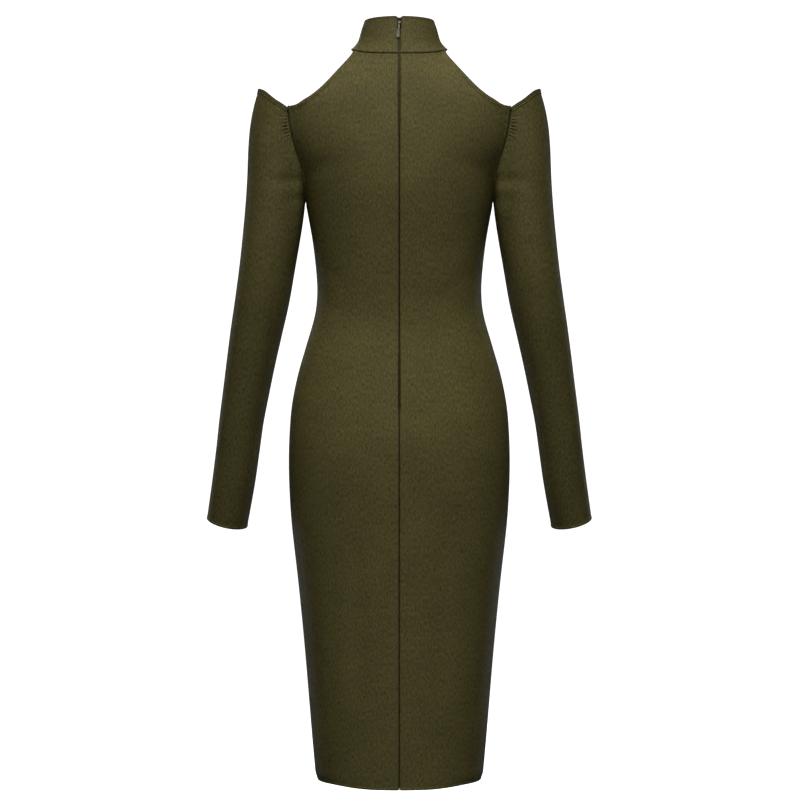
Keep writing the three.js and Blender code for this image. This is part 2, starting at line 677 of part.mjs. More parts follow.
// The pull tab's own frame: the hinge runs along X through its origin and the tab hangs along -Z.
function pullGeometry() {
  const roundCentre = -(PULL.length - PULL.halfWidth);
  const outline = new THREE.Shape();
  outline.moveTo(-PULL.topHalfWidth, 0);
  outline.lineTo(-PULL.topHalfWidth, -PULL.shoulderLow);
  outline.quadraticCurveTo(-PULL.topHalfWidth, -PULL.widestStart, -PULL.halfWidth, roundCentre);
  outline.absarc(0, roundCentre, PULL.halfWidth, Math.PI, 2 * Math.PI, false);
  outline.quadraticCurveTo(PULL.topHalfWidth, -PULL.widestStart, PULL.topHalfWidth, -PULL.shoulderLow);
  outline.lineTo(PULL.topHalfWidth, 0);
  const flat = { depth: PULL.thickness, bevelEnabled: false, curveSegments: TIP_SEGMENTS };
  const blade = new THREE.ExtrudeGeometry(outline, flat)
    .translate(0, 0, -PULL.thickness / 2)
    .rotateX(Math.PI / 2)
    .rotateY(PULL.lean);
  const barrelLength = 2 * (SLIDER.lugInner - PIN.clearance);
  const barrel = barAlongX(BARREL_RADIUS, barrelLength);
  const bore = barAlongX(BARREL_INNER, barrelLength * 2);
  return geometryOf(solid(blade).add(solid(barrel)).subtract(solid(bore)));
}

// The slider sits on the collar near its top. The tab hangs from its pin until its tip rests on the cloth.
const SLIDER_SHARE = SLIDER.height / COLLAR.topRise;
const SLIDER_SEAT = collarPoint(0, SLIDER_SHARE);
const TAB_FOOT = collarPoint(0, SLIDER_SHARE - PULL.length / COLLAR.topRise);
const CLOTH_LEAN = Math.atan2(TAB_FOOT.y - SLIDER_SEAT.y, SLIDER_SEAT.z - TAB_FOOT.z);
const TIP_DROP = PIN_OUT - PULL.thickness / 2 - 2 * SEAM_GAP;
const TAB_LEAN = CLOTH_LEAN - Math.asin(TIP_DROP / PULL.length);

const slider = addMesh('zip_slider', sliderGeometry(), NICKEL);
slider.position.set(0, SLIDER_SEAT.y, SLIDER_SEAT.z);
slider.rotation.x = CLOTH_LEAN;

const pull = addMesh('zip_pull_tab', pullGeometry(), NICKEL);
const outOfCloth = new THREE.Vector3(0, Math.cos(CLOTH_LEAN), Math.sin(CLOTH_LEAN));
pull.position.copy(slider.position).addScaledVector(outOfCloth, PIN_OUT);
pull.rotation.x = TAB_LEAN;

export default dress;
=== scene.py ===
# A bodycon dress in olive fine knit, seen from behind and filled out as it is when it is worn: a stand
# collar, yokes that leave the shoulders bare, long sleeves with a free pointed cap, a concealed zip down
# the centre back and a pencil skirt. Metres, +Z up, the front faces -Y and the wearer's left is +X.
import math

import bmesh
import bpy
from mathutils import Matrix, Vector
from mathutils.bvhtree import BVHTree
from mathutils.kdtree import KDTree


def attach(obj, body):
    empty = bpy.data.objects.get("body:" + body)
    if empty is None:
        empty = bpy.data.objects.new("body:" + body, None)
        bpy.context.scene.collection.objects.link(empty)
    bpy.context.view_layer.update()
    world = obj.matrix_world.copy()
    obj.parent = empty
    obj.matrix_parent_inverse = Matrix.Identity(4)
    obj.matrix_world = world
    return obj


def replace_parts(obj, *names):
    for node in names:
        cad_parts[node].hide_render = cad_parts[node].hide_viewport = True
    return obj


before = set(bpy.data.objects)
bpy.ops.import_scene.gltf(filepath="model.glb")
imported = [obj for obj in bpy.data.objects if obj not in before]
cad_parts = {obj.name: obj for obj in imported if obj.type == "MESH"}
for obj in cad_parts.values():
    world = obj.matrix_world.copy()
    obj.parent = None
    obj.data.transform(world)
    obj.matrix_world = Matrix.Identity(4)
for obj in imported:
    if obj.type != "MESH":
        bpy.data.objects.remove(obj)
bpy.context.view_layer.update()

# The camera stands square behind the dress at half its height, far enough away to flatten it as the
# photograph does, and takes in the whole dress with a margin at its sides.
CAMERA_PLACE = (-0.00102, 3.5, -0.495)
VIEW_WIDTH = 1.16

camera = bpy.data.objects.new("camera", bpy.data.cameras.new("camera"))
bpy.context.scene.collection.objects.link(camera)
camera.location = CAMERA_PLACE
camera.rotation_euler = (math.pi / 2, 0, math.pi)
camera.data.lens = camera.data.sensor_width * CAMERA_PLACE[1] / VIEW_WIDTH
bpy.context.scene.camera = camera
bpy.context.scene.view_settings.view_transform = "Standard"

# The back is cut as two panels, each from the hem to the collar in one piece, in a dense olive knit that
# stretches to the figure. The zip parts them down to the hip and a plain seam joins them below it. Their
# halter edges are turned under and stitched, and the armholes and side seams are overlocked inside.
NECK_HEIGHT = 1.047
ARMHOLE_TOP = 0.9715
UNDERARM = 0.841
ZIP_END = 0.531
CLOTH = 0.002
SEAM_GAP = 0.0003
SLOT_HALF_WIDTH = 0.0011
SLOT_TAPER = 0.004
NECK_RING = {
    "half_width": 0.0703,
    "half_depth": 0.057,
    "corner": math.radians(67),
    "side_rise": 0.013,
    "front_drop": 0.02,
    "back_flatness": 0.0035,
}
ARMHOLE_HALF_DEPTH = 0.048
HEM = {"rise": 0.0032, "start": 0.2, "end": 0.65, "fade": 0.06, "notch": 0.0007, "notch_half_width": 0.0022}

# Over the small of the back the slot draws together and the zip sinks behind it.
SUNK_ZIP = {"low": 0.62, "high": 0.94, "fade": 0.03, "narrowing": 0.72}

# Height above the hem, half width at the side seams.
SIDE_LINE = [
    (0, 0.1175),
    (0.009, 0.1208),
    (0.023, 0.1224),
    (0.11, 0.1297),
    (0.197, 0.137),
    (0.284, 0.1456),
    (0.371, 0.1554),
    (0.415, 0.1585),
    (0.458, 0.1598),
    (0.502, 0.1588),
    (0.545, 0.1552),
    (0.589, 0.1465),
    (0.632, 0.1341),
    (0.676, 0.1218),
    (0.708, 0.1186),
    (0.741, 0.1204),
    (0.784, 0.1256),
    (0.841, 0.136),
]

# Height above the hem, depth of the centre back behind the side seams.
BACK_LINE = [
    (0, 0.0885),
    (0.11, 0.0945),
    (0.24, 0.1),
    (0.371, 0.1065),
    (0.44, 0.1105),
    (0.49, 0.1105),
    (0.54, 0.1045),
    (0.6, 0.094),
    (0.65, 0.085),
    (0.675, 0.0833),
    (0.7, 0.084),
    (0.75, 0.088),
    (0.8, 0.0925),
    (0.86, 0.0965),
    (0.915, 0.093),
    (0.97, 0.083),
    (1.01, 0.072),
    (1.047, 0.057),
]

# Height above the hem, depth of the centre front before the side seams.
FRONT_LINE = [
    (0, 0.088),
    (0.11, 0.092),
    (0.284, 0.097),
    (0.48, 0.101),
    (0.6, 0.097),
    (0.7, 0.09),
    (0.75, 0.096),
    (0.81, 0.107),
    (0.86, 0.105),
    (0.915, 0.093),
    (0.97, 0.077),
    (1, 0.067),
    (1.027, 0.057),
]

# Height above the hem, how square the cross-section is. 2 is an ellipse.
SQUARENESS = [(0, 2), (0.458, 2.25), (0.708, 2.15), (0.841, 2.1), (0.97, 2), (1.047, 2)]

# Height above the hem, distance of the armhole seam from the middle.
ARMHOLE_LINE = [
    (0.841, 0.136),
    (0.862, 0.1363),
    (0.886, 0.1393),
    (0.909, 0.1474),
    (0.929, 0.1533),
    (0.95, 0.1572),
    (0.9715, 0.1603),
]

# Share of the way up from the armhole to the collar, x of the free halter edge.
HALTER_EDGE = [
    (0, 0.1603),
    (0.026, 0.1478),
    (0.098, 0.1369),
    (0.187, 0.1245),
    (0.304, 0.1124),
    (0.432, 0.1018),
    (0.631, 0.0873),
    (0.877, 0.0705),
    (1, NECK_RING["half_width"] * math.sin(NECK_RING["corner"])),
]

# How fast the whole cross-section of the yokes widens upwards, at the armhole and at the collar.
YOKE_WIDENING = {"armhole": 0.5, "collar": -1}
SKIRT_TROUGH = {"x": 0.062, "half_width": 0.017, "depth": 0.0025, "low": 0.06, "high": 0.47}
CUP = {"x": 0.068, "height": 0.812, "half_width": 0.046, "half_height": 0.052, "depth": 0.015}


def curve(rows, column=1):
    """A smooth curve through a column of a table, whose slopes come from the neighbouring rows."""

    def slope(i):
        before, after = rows[max(i - 1, 0)], rows[min(i + 1, len(rows) - 1)]
        return (after[column] - before[column]) / (after[0] - before[0])

    def at(place):
        i = 0
        while i < len(rows) - 2 and place > rows[i + 1][0]:
            i += 1
        step = rows[i + 1][0] - rows[i][0]
        t = (place - rows[i][0]) / step
        ends = rows[i][column] * (1 + 2 * t) * (1 - t) ** 2 + rows[i + 1][column] * (3 - 2 * t) * t ** 2
        return ends + step * (slope(i) * t * (1 - t) ** 2 - slope(i + 1) * (1 - t) * t ** 2)

    return at


side_half_width = curve(SIDE_LINE)
back_depth = curve(BACK_LINE)
front_depth = curve(FRONT_LINE)
squareness = curve(SQUARENESS)
armhole_x = curve(ARMHOLE_LINE)
halter_x = curve(HALTER_EDGE)


def bell(distance, half_width):
    """1 at no distance, falling softly to nothing."""
    return math.exp(-((distance / half_width) ** 2))


def smooth_step(value, start, end):
    """0 at start and 1 at end, with a soft rise between."""
    t = min(max((value - start) / (end - start), 0), 1)
    return t * t * (3 - 2 * t)


def steps(start, end, count, crowd_start=0.0, crowd_end=0.0):
    """Values from start to end. They crowd towards an end by the share given, up to nearly 1."""

    def eased(t):
        towards_start, towards_end = t * t, 1 - (1 - t) ** 2
        if crowd_start and crowd_end:
            return t - crowd_start * math.sin(2 * math.pi * t) / (2 * math.pi)
        return t + crowd_start * (towards_start - t) + crowd_end * (towards_end - t)

    return [start + (end - start) * eased(i / count) for i in range(count + 1)]


def armhole_height(turn):
    """The height of a point of the armhole. The turn is 0 at its top, a right angle at the underarm."""
    return ARMHOLE_TOP - (ARMHOLE_TOP - UNDERARM) * math.sin(turn)


def neck_seam(turn):
    """The collar seam's height over the origin, by the turn from the centre back."""
    first = NECK_RING["front_drop"] / 2
    second = (NECK_RING["side_rise"] + first) / 2
    third = NECK_RING["back_flatness"]
    sideways = second * math.cos(2 * turn)
    return second - first + (first - third) * math.cos(turn) - sideways + third * math.cos(3 * turn)


def seam_edge(level):
    """Where a panel is sewn to its neighbour: at the side seam, and above it at the armhole."""
    if level <= UNDERARM:
        return side_half_width(level), 0
    turn = math.asin((ARMHOLE_TOP - level) / (ARMHOLE_TOP - UNDERARM))
    return armhole_x(level), ARMHOLE_HALF_DEPTH * math.cos(turn)


def yoke_half_width(share, at_armhole):
    """The half width that the yokes would have if they weren't cut back to the halter edge."""
    rise = NECK_HEIGHT - ARMHOLE_TOP
    start = at_armhole * (1 + 2 * share) + YOKE_WIDENING["armhole"] * rise * share
    end = NECK_RING["half_width"] * (3 - 2 * share) - YOKE_WIDENING["collar"] * rise * (1 - share)
    return start * (1 - share) ** 2 + end * share ** 2


def torso_point(face, share, level):
    """A point of the torso. The face is 1 behind and -1 in front, the share runs from the centre line to
    the edge, and the level is the height at the centre back."""
    yoke = max(0, (level - ARMHOLE_TOP) / (NECK_HEIGHT - ARMHOLE_TOP))
    centre_turn = 0 if face > 0 else math.pi
    centre_depth = back_depth if face > 0 else front_depth
    depth = centre_depth(level + neck_seam(centre_turn) * yoke)
    power = squareness(level)
    sewn_level = min(level, ARMHOLE_TOP)
    edge_x, edge_y = seam_edge(sewn_level)
    half_width = edge_x / (1 - (edge_y / centre_depth(sewn_level)) ** power) ** (1 / power)
    if yoke > 0:
        half_width = yoke_half_width(yoke, half_width)
        edge_x = halter_x(yoke)
    angle = math.asin((edge_x / half_width) ** (power / 2)) * share
    x = half_width * max(0, math.sin(angle)) ** (2 / power)
    y = depth * max(0, math.cos(angle)) ** (2 / power)
    if face > 0 and SKIRT_TROUGH["low"] < level < SKIRT_TROUGH["high"]:
        along = (level - SKIRT_TROUGH["low"]) / (SKIRT_TROUGH["high"] - SKIRT_TROUGH["low"])
        sides = bell(x - SKIRT_TROUGH["x"], SKIRT_TROUGH["half_width"])
        y -= SKIRT_TROUGH["depth"] * math.sin(math.pi * along) ** 2 * sides
    if face < 0:
        sides = bell(x - CUP["x"], CUP["half_width"]) * bell(level - CUP["height"], CUP["half_height"])
        y += CUP["depth"] * (1 - share ** 4) * sides
    height = level + neck_seam(centre_turn + face * NECK_RING["corner"] * share) * yoke
    rise = HEM["rise"] * smooth_step(share, HEM["start"], HEM["end"])
    if face > 0:
        rise += HEM["notch"] * bell(x, HEM["notch_half_width"])
    height += rise * max(0, 1 - level / HEM["fade"])
    return Vector((x, face * max(y, SEAM_GAP / 2), height - NECK_HEIGHT))


LEVELS = steps(0, UNDERARM, 190, crowd_start=0.9)[:-1]
LEVELS += [armhole_height(turn) for turn in steps(math.pi / 2, 0, 46)][:-1]
LEVELS += steps(ARMHOLE_TOP, NECK_HEIGHT, 52, crowd_start=0.8, crowd_end=0.8)
BACK_SHARES = steps(0, 1, 72, crowd_start=0.88, crowd_end=0.88)


def sunk_zip(level):
    """1 where the zip is sunk behind its slot, and 0 where it lies in it."""
    low, high, fade = SUNK_ZIP["low"], SUNK_ZIP["high"], SUNK_ZIP["fade"]
    return smooth_step(level, low - fade, low + fade) * smooth_step(level, high + fade, high - fade)


def slot_edge(level):
    """How far a back panel's edge stands from the middle: next to nothing below the zip."""
    open_width = SLOT_HALF_WIDTH * (1 - SUNK_ZIP["narrowing"] * sunk_zip(level)) - SEAM_GAP / 2
    return SEAM_GAP / 2 + open_width * smooth_step(level, ZIP_END, ZIP_END + SLOT_TAPER)


def line_of(points):
    """A line of close points that distances can be taken from."""
    line = KDTree(len(points))
    for i, point in enumerate(points):
        line.insert(point, i)
    line.balance()
    return line


def left_spot(place):
    """The place itself, or its mirror image if it lies on the right half."""
    return Vector((abs(place.x), place.y, place.z))


def mirrored_line(points, side):
    """The same line on the left side, or mirrored to the right."""
    return [Vector((side * point.x, point.y, point.z)) for point in points]


def seams_of(face):
    """The lines where a panel of this face is sewn to its neighbours, on the left half."""
    points = [torso_point(face, 1, level) for level in steps(0, UNDERARM, 1200)]
    points += [torso_point(face, 1, armhole_height(turn)) for turn in steps(0, math.pi / 2, 300)]
    points += [torso_point(face, share, NECK_HEIGHT) for share in steps(0, 1, 200)]
    if face > 0:
        for level in steps(0, NECK_HEIGHT, 1800):
            point = torso_point(face, 0, level)
            points.append(Vector((slot_edge(level), point.y, point.z)))
    return line_of(points)


def halter_edge(face):
    """The free edge from the armhole up to the collar, on the left half."""
    return [torso_point(face, 1, level) for level in steps(ARMHOLE_TOP, NECK_HEIGHT, 300)]


# The seam's dip and the ridge over its allowance, and how near a seam or free edge the knit is darkened by
# painted shade, and how dark.
SEAM = {
    "depth": 0.0009,
    "half_width": 0.0011,
    "darkest_width": 0.0004,
    "dark_width": 0.0013,
    "painted_shade_tone": 0.2,
    "ridge": 0.0004,
    "ridge_place": 0.0031,
    "ridge_half_width": 0.0012,
}
TURNED_EDGE = {
    "width": 0.006,
    "raise": 0.0009,
    "step": 0.001,
    "stitch_in": 0.0045,
    "groove": 0.0009,
    "groove_half_width": 0.0006,
}
ROLLED_EDGE = {"width": 0.0026, "raise": 0.0004, "step": 0.0008}


def sewn(distance):
    """The dip at a seam, and the low ridge over the allowance that is pressed to one side."""
    ridge = SEAM["ridge"] * bell(distance - SEAM["ridge_place"], SEAM["ridge_half_width"])
    return ridge - SEAM["depth"] * bell(distance, SEAM["half_width"])


def turned(distance):
    """A turned and stitched edge: two layers up to its stitch line, which sinks in a little."""
    doubled = smooth_step(distance, TURNED_EDGE["width"] + TURNED_EDGE["step"], TURNED_EDGE["width"])
    groove = bell(distance - TURNED_EDGE["stitch_in"], TURNED_EDGE["groove_half_width"])
    return TURNED_EDGE["raise"] * doubled - TURNED_EDGE["groove"] * groove


def rolled(distance):
    """A narrow blind-stitched edge."""
    doubled = smooth_step(distance, ROLLED_EDGE["width"] + ROLLED_EDGE["step"], ROLLED_EDGE["width"])
    return ROLLED_EDGE["raise"] * doubled


# The soft creases of each face: their two ends as x and height above the hem, half width, and depth,
# which is negative where the cloth rises. They differ from side to side, as real ones do.
BACK_CREASES = [
    (0.098, 0.1, 0.088, 0.36, 0.011, 0.0009),
    (-0.094, 0.14, -0.09, 0.41, 0.012, 0.0008),
    (0.03, 0.12, 0.036, 0.4, 0.014, -0.0006),
    (-0.034, 0.06, -0.031, 0.36, 0.013, -0.0006),
    (0.112, 0.742, 0.07, 0.715, 0.008, 0.0008),
    (-0.112, 0.735, -0.064, 0.712, 0.008, 0.0008),
    (0.108, 0.69, 0.075, 0.672, 0.007, 0.0006),
    (-0.11, 0.683, -0.08, 0.664, 0.008, 0.0006),
    (0.13, 0.872, 0.085, 0.9, 0.012, 0.0012),
    (-0.13, 0.868, -0.088, 0.902, 0.012, 0.0012),
    (0.02, 0.7, 0.06, 0.694, 0.01, 0.0005),
    (-0.025, 0.706, -0.07, 0.698, 0.01, 0.0005),
]
FRONT_CREASES = [
    (0.1, 0.08, 0.085, 0.38, 0.013, 0.001),
    (-0.098, 0.12, -0.088, 0.36, 0.012, 0.001),
    (0.04, 0.1, 0.046, 0.34, 0.016, 0.0008),
    (-0.045, 0.06, -0.042, 0.38, 0.015, 0.0008),
    (0.125, 0.85, 0.085, 0.83, 0.01, 0.0013),
    (-0.124, 0.852, -0.088, 0.828, 0.01, 0.0012),
    (0.105, 0.74, 0.06, 0.722, 0.009, 0.0009),
    (-0.106, 0.734, -0.055, 0.718, 0.009, 0.0009),
    (0.06, 0.56, -0.05, 0.566, 0.012, 0.0007),
    (0.12, 0.54, 0.07, 0.556, 0.01, 0.0009),
    (-0.12, 0.545, -0.075, 0.558, 0.01, 0.0008),
]

# A crease dies out past its ends, over this share of its length.
CREASE_OVERRUN = 0.3


def creased(creases, x, level):
    """How far the soft creases sink the cloth at this place."""
    sunk = 0
    for start_x, start_height, end_x, end_height, half_width, depth in creases:
        run_x, run_z = end_x - start_x, end_height - start_height
        along = ((x - start_x) * run_x + (level - start_height) * run_z) / (run_x ** 2 + run_z ** 2)
        if -CREASE_OVERRUN < along < 1 + CREASE_OVERRUN:
            off = math.hypot(x - start_x - along * run_x, level - start_height - along * run_z)
            fade = math.sin(math.pi * (along + CREASE_OVERRUN) / (1 + 2 * CREASE_OVERRUN)) ** 2
            sunk += depth * fade * bell(off, half_width)
    return sunk


def lay_cloth(points, flat, relief=None, lines=(), closed=False, mirrored=False):
    """A sheet of cloth through rows of points. It starts as a flat grid and its map takes the cloth's own
    measure in metres. Then each point moves in or out by the relief. Its faces point outwards. The lines
    are its seams and free edges on the left half, and from_line keeps how far off the nearest one is."""
    rows, columns = len(points) - 1, len(points[0]) - 1
    cloth = bmesh.new()
    bmesh.ops.create_grid(cloth, x_segments=columns, y_segments=rows, size=0.5)
    from_line = cloth.verts.layers.float.new("from_line")
    spots = {
        vert: (round((vert.co.y + 0.5) * rows), round((vert.co.x + 0.5) * columns)) for vert in cloth.verts
    }
    measure = cloth.loops.layers.uv.new("measure")
    for face in cloth.faces:
        face.smooth = True
        for loop in face.loops:
            row, column = spots[loop.vert]
            loop[measure].uv = flat[row][column]
    for vert, (row, column) in spots.items():
        vert.co = points[row][column]
    if closed:
        bmesh.ops.remove_doubles(cloth, verts=cloth.verts, dist=SEAM_GAP / 10)
    if mirrored:
        bmesh.ops.reverse_faces(cloth, faces=cloth.faces)
    cloth.normal_update()
    for vert in cloth.verts:
        vert[from_line] = min([line.find(left_spot(vert.co))[2] for line in lines], default=1)
    if relief:
        moves = [(vert, vert.normal * relief(vert.co, *spots[vert])) for vert in cloth.verts]
        for vert, move in moves:
            vert.co += move
        cloth.normal_update()
    return cloth


def across(points):
    """The distance of each point of a row from its first one, along the row."""
    lengths = [0]
    for before, after in zip(points, points[1:]):
        lengths.append(lengths[-1] + (after - before).length)
    return lengths


def new_piece(name, shape, material, body="dress"):
    """Makes a piece of a bmesh, with its material, and lets it ride on a body."""
    mesh = bpy.data.meshes.new(name)
    shape.to_mesh(mesh)
    shape.free()
    mesh.materials.append(material)
    piece = bpy.data.objects.new(name, mesh)
    bpy.context.scene.collection.objects.link(piece)
    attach(piece, body)
    return piece


def thicken(piece):
    """Gives a sheet the cloth's thickness inwards, and rounds the rim."""
    wall = piece.modifiers.new("thickness", "SOLIDIFY")
    wall.thickness = CLOTH
    wall.offset = -1
    rim = piece.modifiers.new("rounded rim", "BEVEL")
    rim.width = CLOTH * 0.35
    rim.segments = 2
    rim.limit_method = "ANGLE"
    rim.angle_limit = math.radians(55)


class Shade:
    """A value in a material's nodes. Sums on it add Math nodes, and node() adds any other node."""

    def __init__(self, tree, socket=None):
        self.tree = tree
        self.socket = socket

    def node(self, kind, settings=None, sockets=None, output=0):
        made = self.tree.nodes.new("ShaderNode" + kind)
        for name, value in (settings or {}).items():
            setattr(made, name, value)
        for name, value in (sockets or {}).items():
            if isinstance(value, Shade):
                self.tree.links.new(value.socket, made.inputs[name])
            else:
                made.inputs[name].default_value = value
        return Shade(self.tree, made.outputs[output])

    def maths(self, operation, first, second=0.0):
        return self.node("Math", {"operation": operation}, {0: first, 1: second})

    def __add__(self, other):
        return self.maths("ADD", self, other)

    def __radd__(self, other):
        return self.maths("ADD", other, self)

    def __sub__(self, other):
        return self.maths("SUBTRACT", self, other)

    def __rsub__(self, other):
        return self.maths("SUBTRACT", other, self)

    def __mul__(self, other):
        return self.maths("MULTIPLY", self, other)

    def __rmul__(self, other):
        return self.maths("MULTIPLY", other, self)

    def __truediv__(self, other):
        return self.maths("DIVIDE", self, other)


def new_material(name):
    """A material with a Principled shader, and a first value to build its nodes from."""
    material = bpy.data.materials.new(name)
    material.use_nodes = True
    shader = material.node_tree.nodes["Principled BSDF"]
    return material, shader, Shade(material.node_tree)


def noise(place, scale, detail=2.0, roughness=0.5):
    """Soft noise from 0 to 1."""
    sockets = {"Vector": place, "Scale": scale, "Detail": detail, "Roughness": roughness}
    return place.node("TexNoise", None, sockets)


def stretched_noise(place, scales, detail):
    """Soft noise round 0 that is drawn out by its own scale along each axis."""
    drawn = place.node("VectorMath", {"operation": "MULTIPLY"}, {0: place, 1: scales})
    return noise(drawn, 1, detail) - 0.5


def soft_ramp(value, start, end, low, high):
    """Goes softly from low to high while the value goes from start to end."""
    sockets = {"Value": value, "From Min": start, "From Max": end, "To Min": low, "To Max": high}
    return value.node("MapRange", {"interpolation_type": "SMOOTHSTEP"}, sockets)


def blended(first, second, share):
    """A colour between two colours."""
    sockets = {"Factor": share, "A": first, "B": second}
    return share.node("Mix", {"data_type": "RGBA", "clamp_factor": True}, sockets, output=2)


def toned(colour, tone):
    """A colour made lighter or darker."""
    return tone.node("VectorMath", {"operation": "SCALE"}, {"Vector": colour, "Scale": tone})


def bumped(height, strength, distance):
    """A surface direction that is tilted by a height."""
    return height.node("Bump", None, {"Strength": strength, "Distance": distance, "Height": height})


def connect(shader, values):
    """Joins values to the sockets of a Principled shader."""
    for name, value in values.items():
        value.tree.links.new(value.socket, shader.inputs[name])


# The knit has fine upright wales. Each stitch of a wale is a small V of lustrous yarn. It is a little
# uneven: in upright streaks, in a mottle of a few millimetres, and slowly over a hand's breadth.
WALE = 0.00115
COURSE = 0.0009
WALE_WOBBLE = {"scale": 90, "width": 0.0006}
STREAK = (620, 170, 1)
MOTTLE = (330, 210, 1)
PATCHES = {"scale": 18, "roughness": 0.6, "contrast": 1.6}
OLIVE_LIGHT = (0.094, 0.0805, 0.0245, 1)
OLIVE_DARK = (0.0765, 0.0665, 0.0225, 1)


def knit_material(name):
    """The olive knit, measured on the cloth's own map. Right beside a seam or a free edge it is darkened by
    painted shade.
    """
    material, shader, shade = new_material(name)
    measure = shade.node("UVMap", {"uv_map": "measure"})
    u = shade.node("SeparateXYZ", None, {"Vector": measure})
    v = Shade(shade.tree, u.socket.node.outputs["Y"])
    wobble = noise(measure, WALE_WOBBLE["scale"]) - 0.5
    wale = shade.maths("PINGPONG", (u + wobble * WALE_WOBBLE["width"]) / WALE, 0.5) * 2
    loops = shade.maths("SINE", (v / COURSE + wale * 0.5) * (2 * math.pi)) * 0.5 + 0.5
    stitch = shade.maths("SINE", wale * (math.pi / 2)) * (0.55 + 0.45 * loops)
    streaks = stretched_noise(measure, STREAK, 1)
    mottle = stretched_noise(measure, MOTTLE, 2)
    patches = noise(measure, PATCHES["scale"], 4, PATCHES["roughness"])
    olive = blended(OLIVE_DARK, OLIVE_LIGHT, (patches - 0.5) * PATCHES["contrast"] + 0.5)
    from_line = shade.node("Attribute", {"attribute_name": "from_line"}, None, output="Fac")
    # Painted shade: the colour darkens right beside each seam and free edge.
    shadow_line = soft_ramp(from_line, SEAM["darkest_width"], SEAM["dark_width"], SEAM["painted_shade_tone"], 1.0)
    tone = 0.8 + 0.22 * stitch + 1.1 * streaks + 1.1 * mottle + 0.2 * (patches - 0.5)
    relief = bumped(stitch + 0.9 * streaks + 0.9 * mottle, 0.6, 0.0004)
    shader.inputs["Specular IOR Level"].default_value = 0.2
    shader.inputs["Specular Tint"].default_value = (1, 0.93, 0.6, 1)
    colour = toned(olive, tone * shadow_line)
    connect(shader, {"Base Color": colour, "Roughness": 0.66 - 0.12 * stitch, "Normal": relief})
    return material


KNIT = knit_material("olive_knit")
SIDES = (("left", 1), ("right", -1))

# The surface of each cloth piece by its name, for what is laid on the cloth later.
surfaces = {}


def cloth_piece(name, cloth, nodes):
    """Makes a sheet of cloth a thickened piece in place of its solids, and keeps its surface."""
    surfaces[name] = BVHTree.FromBMesh(cloth)
    piece = new_piece(name, cloth, KNIT)
    thicken(piece)
    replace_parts(piece, *nodes)


def panel_lines(face):
    """The lines of a panel on its left half: its seams, its halter edge and its hem."""
    hem = [torso_point(face, share, 0) for share in steps(0, 1, 400)]
    return [seams_of(face), line_of(halter_edge(face)), line_of(hem)]


def panel_relief(lines, creases):
    """The fine form of a panel, for any place: its seams, turned edge, rolled hem and soft creases."""
    seams, halter, hem = lines

    def relief(place, row, column):
        spot = left_spot(place)
        move = sewn(seams.find(spot)[2]) + turned(halter.find(spot)[2]) + rolled(hem.find(spot)[2])
        return move - creased(creases, place.x, place.z + NECK_HEIGHT)

    return relief


back_lines = panel_lines(1)
back_relief = panel_relief(back_lines, BACK_CREASES)


def back_points(side):
    """The rows of a back panel's points. The zip's slot keeps the upper part clear of the middle."""
    rows = []
    for level in LEVELS:
        row = [torso_point(1, share, level) for share in BACK_SHARES]
        for point in row:
            point.x = side * max(point.x, slot_edge(level))
        rows.append(row)
    return rows


for word, side in SIDES:
    points = back_points(side)
    flat = [[(side * length, level) for length in across(row)] for row, level in zip(points, LEVELS)]
    cloth = lay_cloth(points, flat, back_relief, back_lines, mirrored=side > 0)
    cloth_piece(f"back_{word}", cloth, [f"back_panel_{word}"])

# The front is one panel from side seam to side seam, in the same knit, with room for the bust. It is
# sewn to the back along the sides and to the sleeves along the armholes, and carries the collar's front.
FRONT_SHARES = steps(-1, 0, 72, crowd_start=0.88)[:-1] + steps(0, 1, 72, crowd_end=0.88)

front_lines = panel_lines(-1)
points = []
for level in LEVELS:
    row = [torso_point(-1, abs(share), level) for share in FRONT_SHARES]
    for point, share in zip(row, FRONT_SHARES):
        point.x = math.copysign(point.x, share)
    points.append(row)
flat = []
for row, level in zip(points, LEVELS):
    lengths = across(row)
    flat.append([(length - lengths[-1] / 2, level) for length in lengths])
cloth = lay_cloth(points, flat, panel_relief(front_lines, FRONT_CREASES), front_lines)
cloth_piece("front", cloth, ["front_panel"])

# The collar is a doubled band of the knit, sewn to the yokes and open at the centre back, where its
# corners are rounded off over the slider. Between the yokes its lower edge hangs free and flares.
COLLAR = {"top": 0.0555, "front_dip": 0.0135, "notch": 0.003, "notch_half_width": 0.0055}

# The slot opens a little round the slider: the share of the collar's height, how far up and down, how much.
SLIDER_ROOM = {"share": 0.82, "reach": 0.14, "extra": 0.0014}

# Share of the collar's height, half width, half depth, centre.
COLLAR_SECTIONS = [
    (0, 0.0703, 0.057, 0),
    (0.12, 0.0648, 0.0548, -0.0008),
    (0.3, 0.0598, 0.0528, -0.0028),
    (0.6, 0.0562, 0.0516, -0.006),
    (0.85, 0.0532, 0.051, -0.008),
    (1, 0.0504, 0.0504, -0.009),
]
COLLAR_FLAT = {"width": 0.37, "length": 0.062}

# Rows of stitching under the top edge: how far down, and how deep and wide they sink in.
TOP_ROWS = {"down": (0.0042, 0.0068, 0.0094), "depth": 0.00022, "half_width": 0.0006}
collar_half_width = curve(COLLAR_SECTIONS, 1)
collar_half_depth = curve(COLLAR_SECTIONS, 2)
collar_centre = curve(COLLAR_SECTIONS, 3)


def collar_point(turn, share):
    """A point of the collar's left half, by the turn from the centre back and the share of its height."""
    slot = SLOT_HALF_WIDTH + SLIDER_ROOM["extra"] * bell(share - SLIDER_ROOM["share"], SLIDER_ROOM["reach"])
    x = max(slot, collar_half_width(share) * math.sin(turn))
    y = collar_centre(share) + collar_half_depth(share) * math.cos(turn)
    frontness = (1 - math.cos(turn)) / 2
    notch = COLLAR["notch"] * max(0, 1 - x / COLLAR["notch_half_width"]) if y > 0 else 0
    top = COLLAR["top"] - COLLAR["front_dip"] * frontness ** 4 - notch
    bottom = neck_seam(turn) + SEAM_GAP
    return Vector((x, y, bottom + (top - bottom) * share))


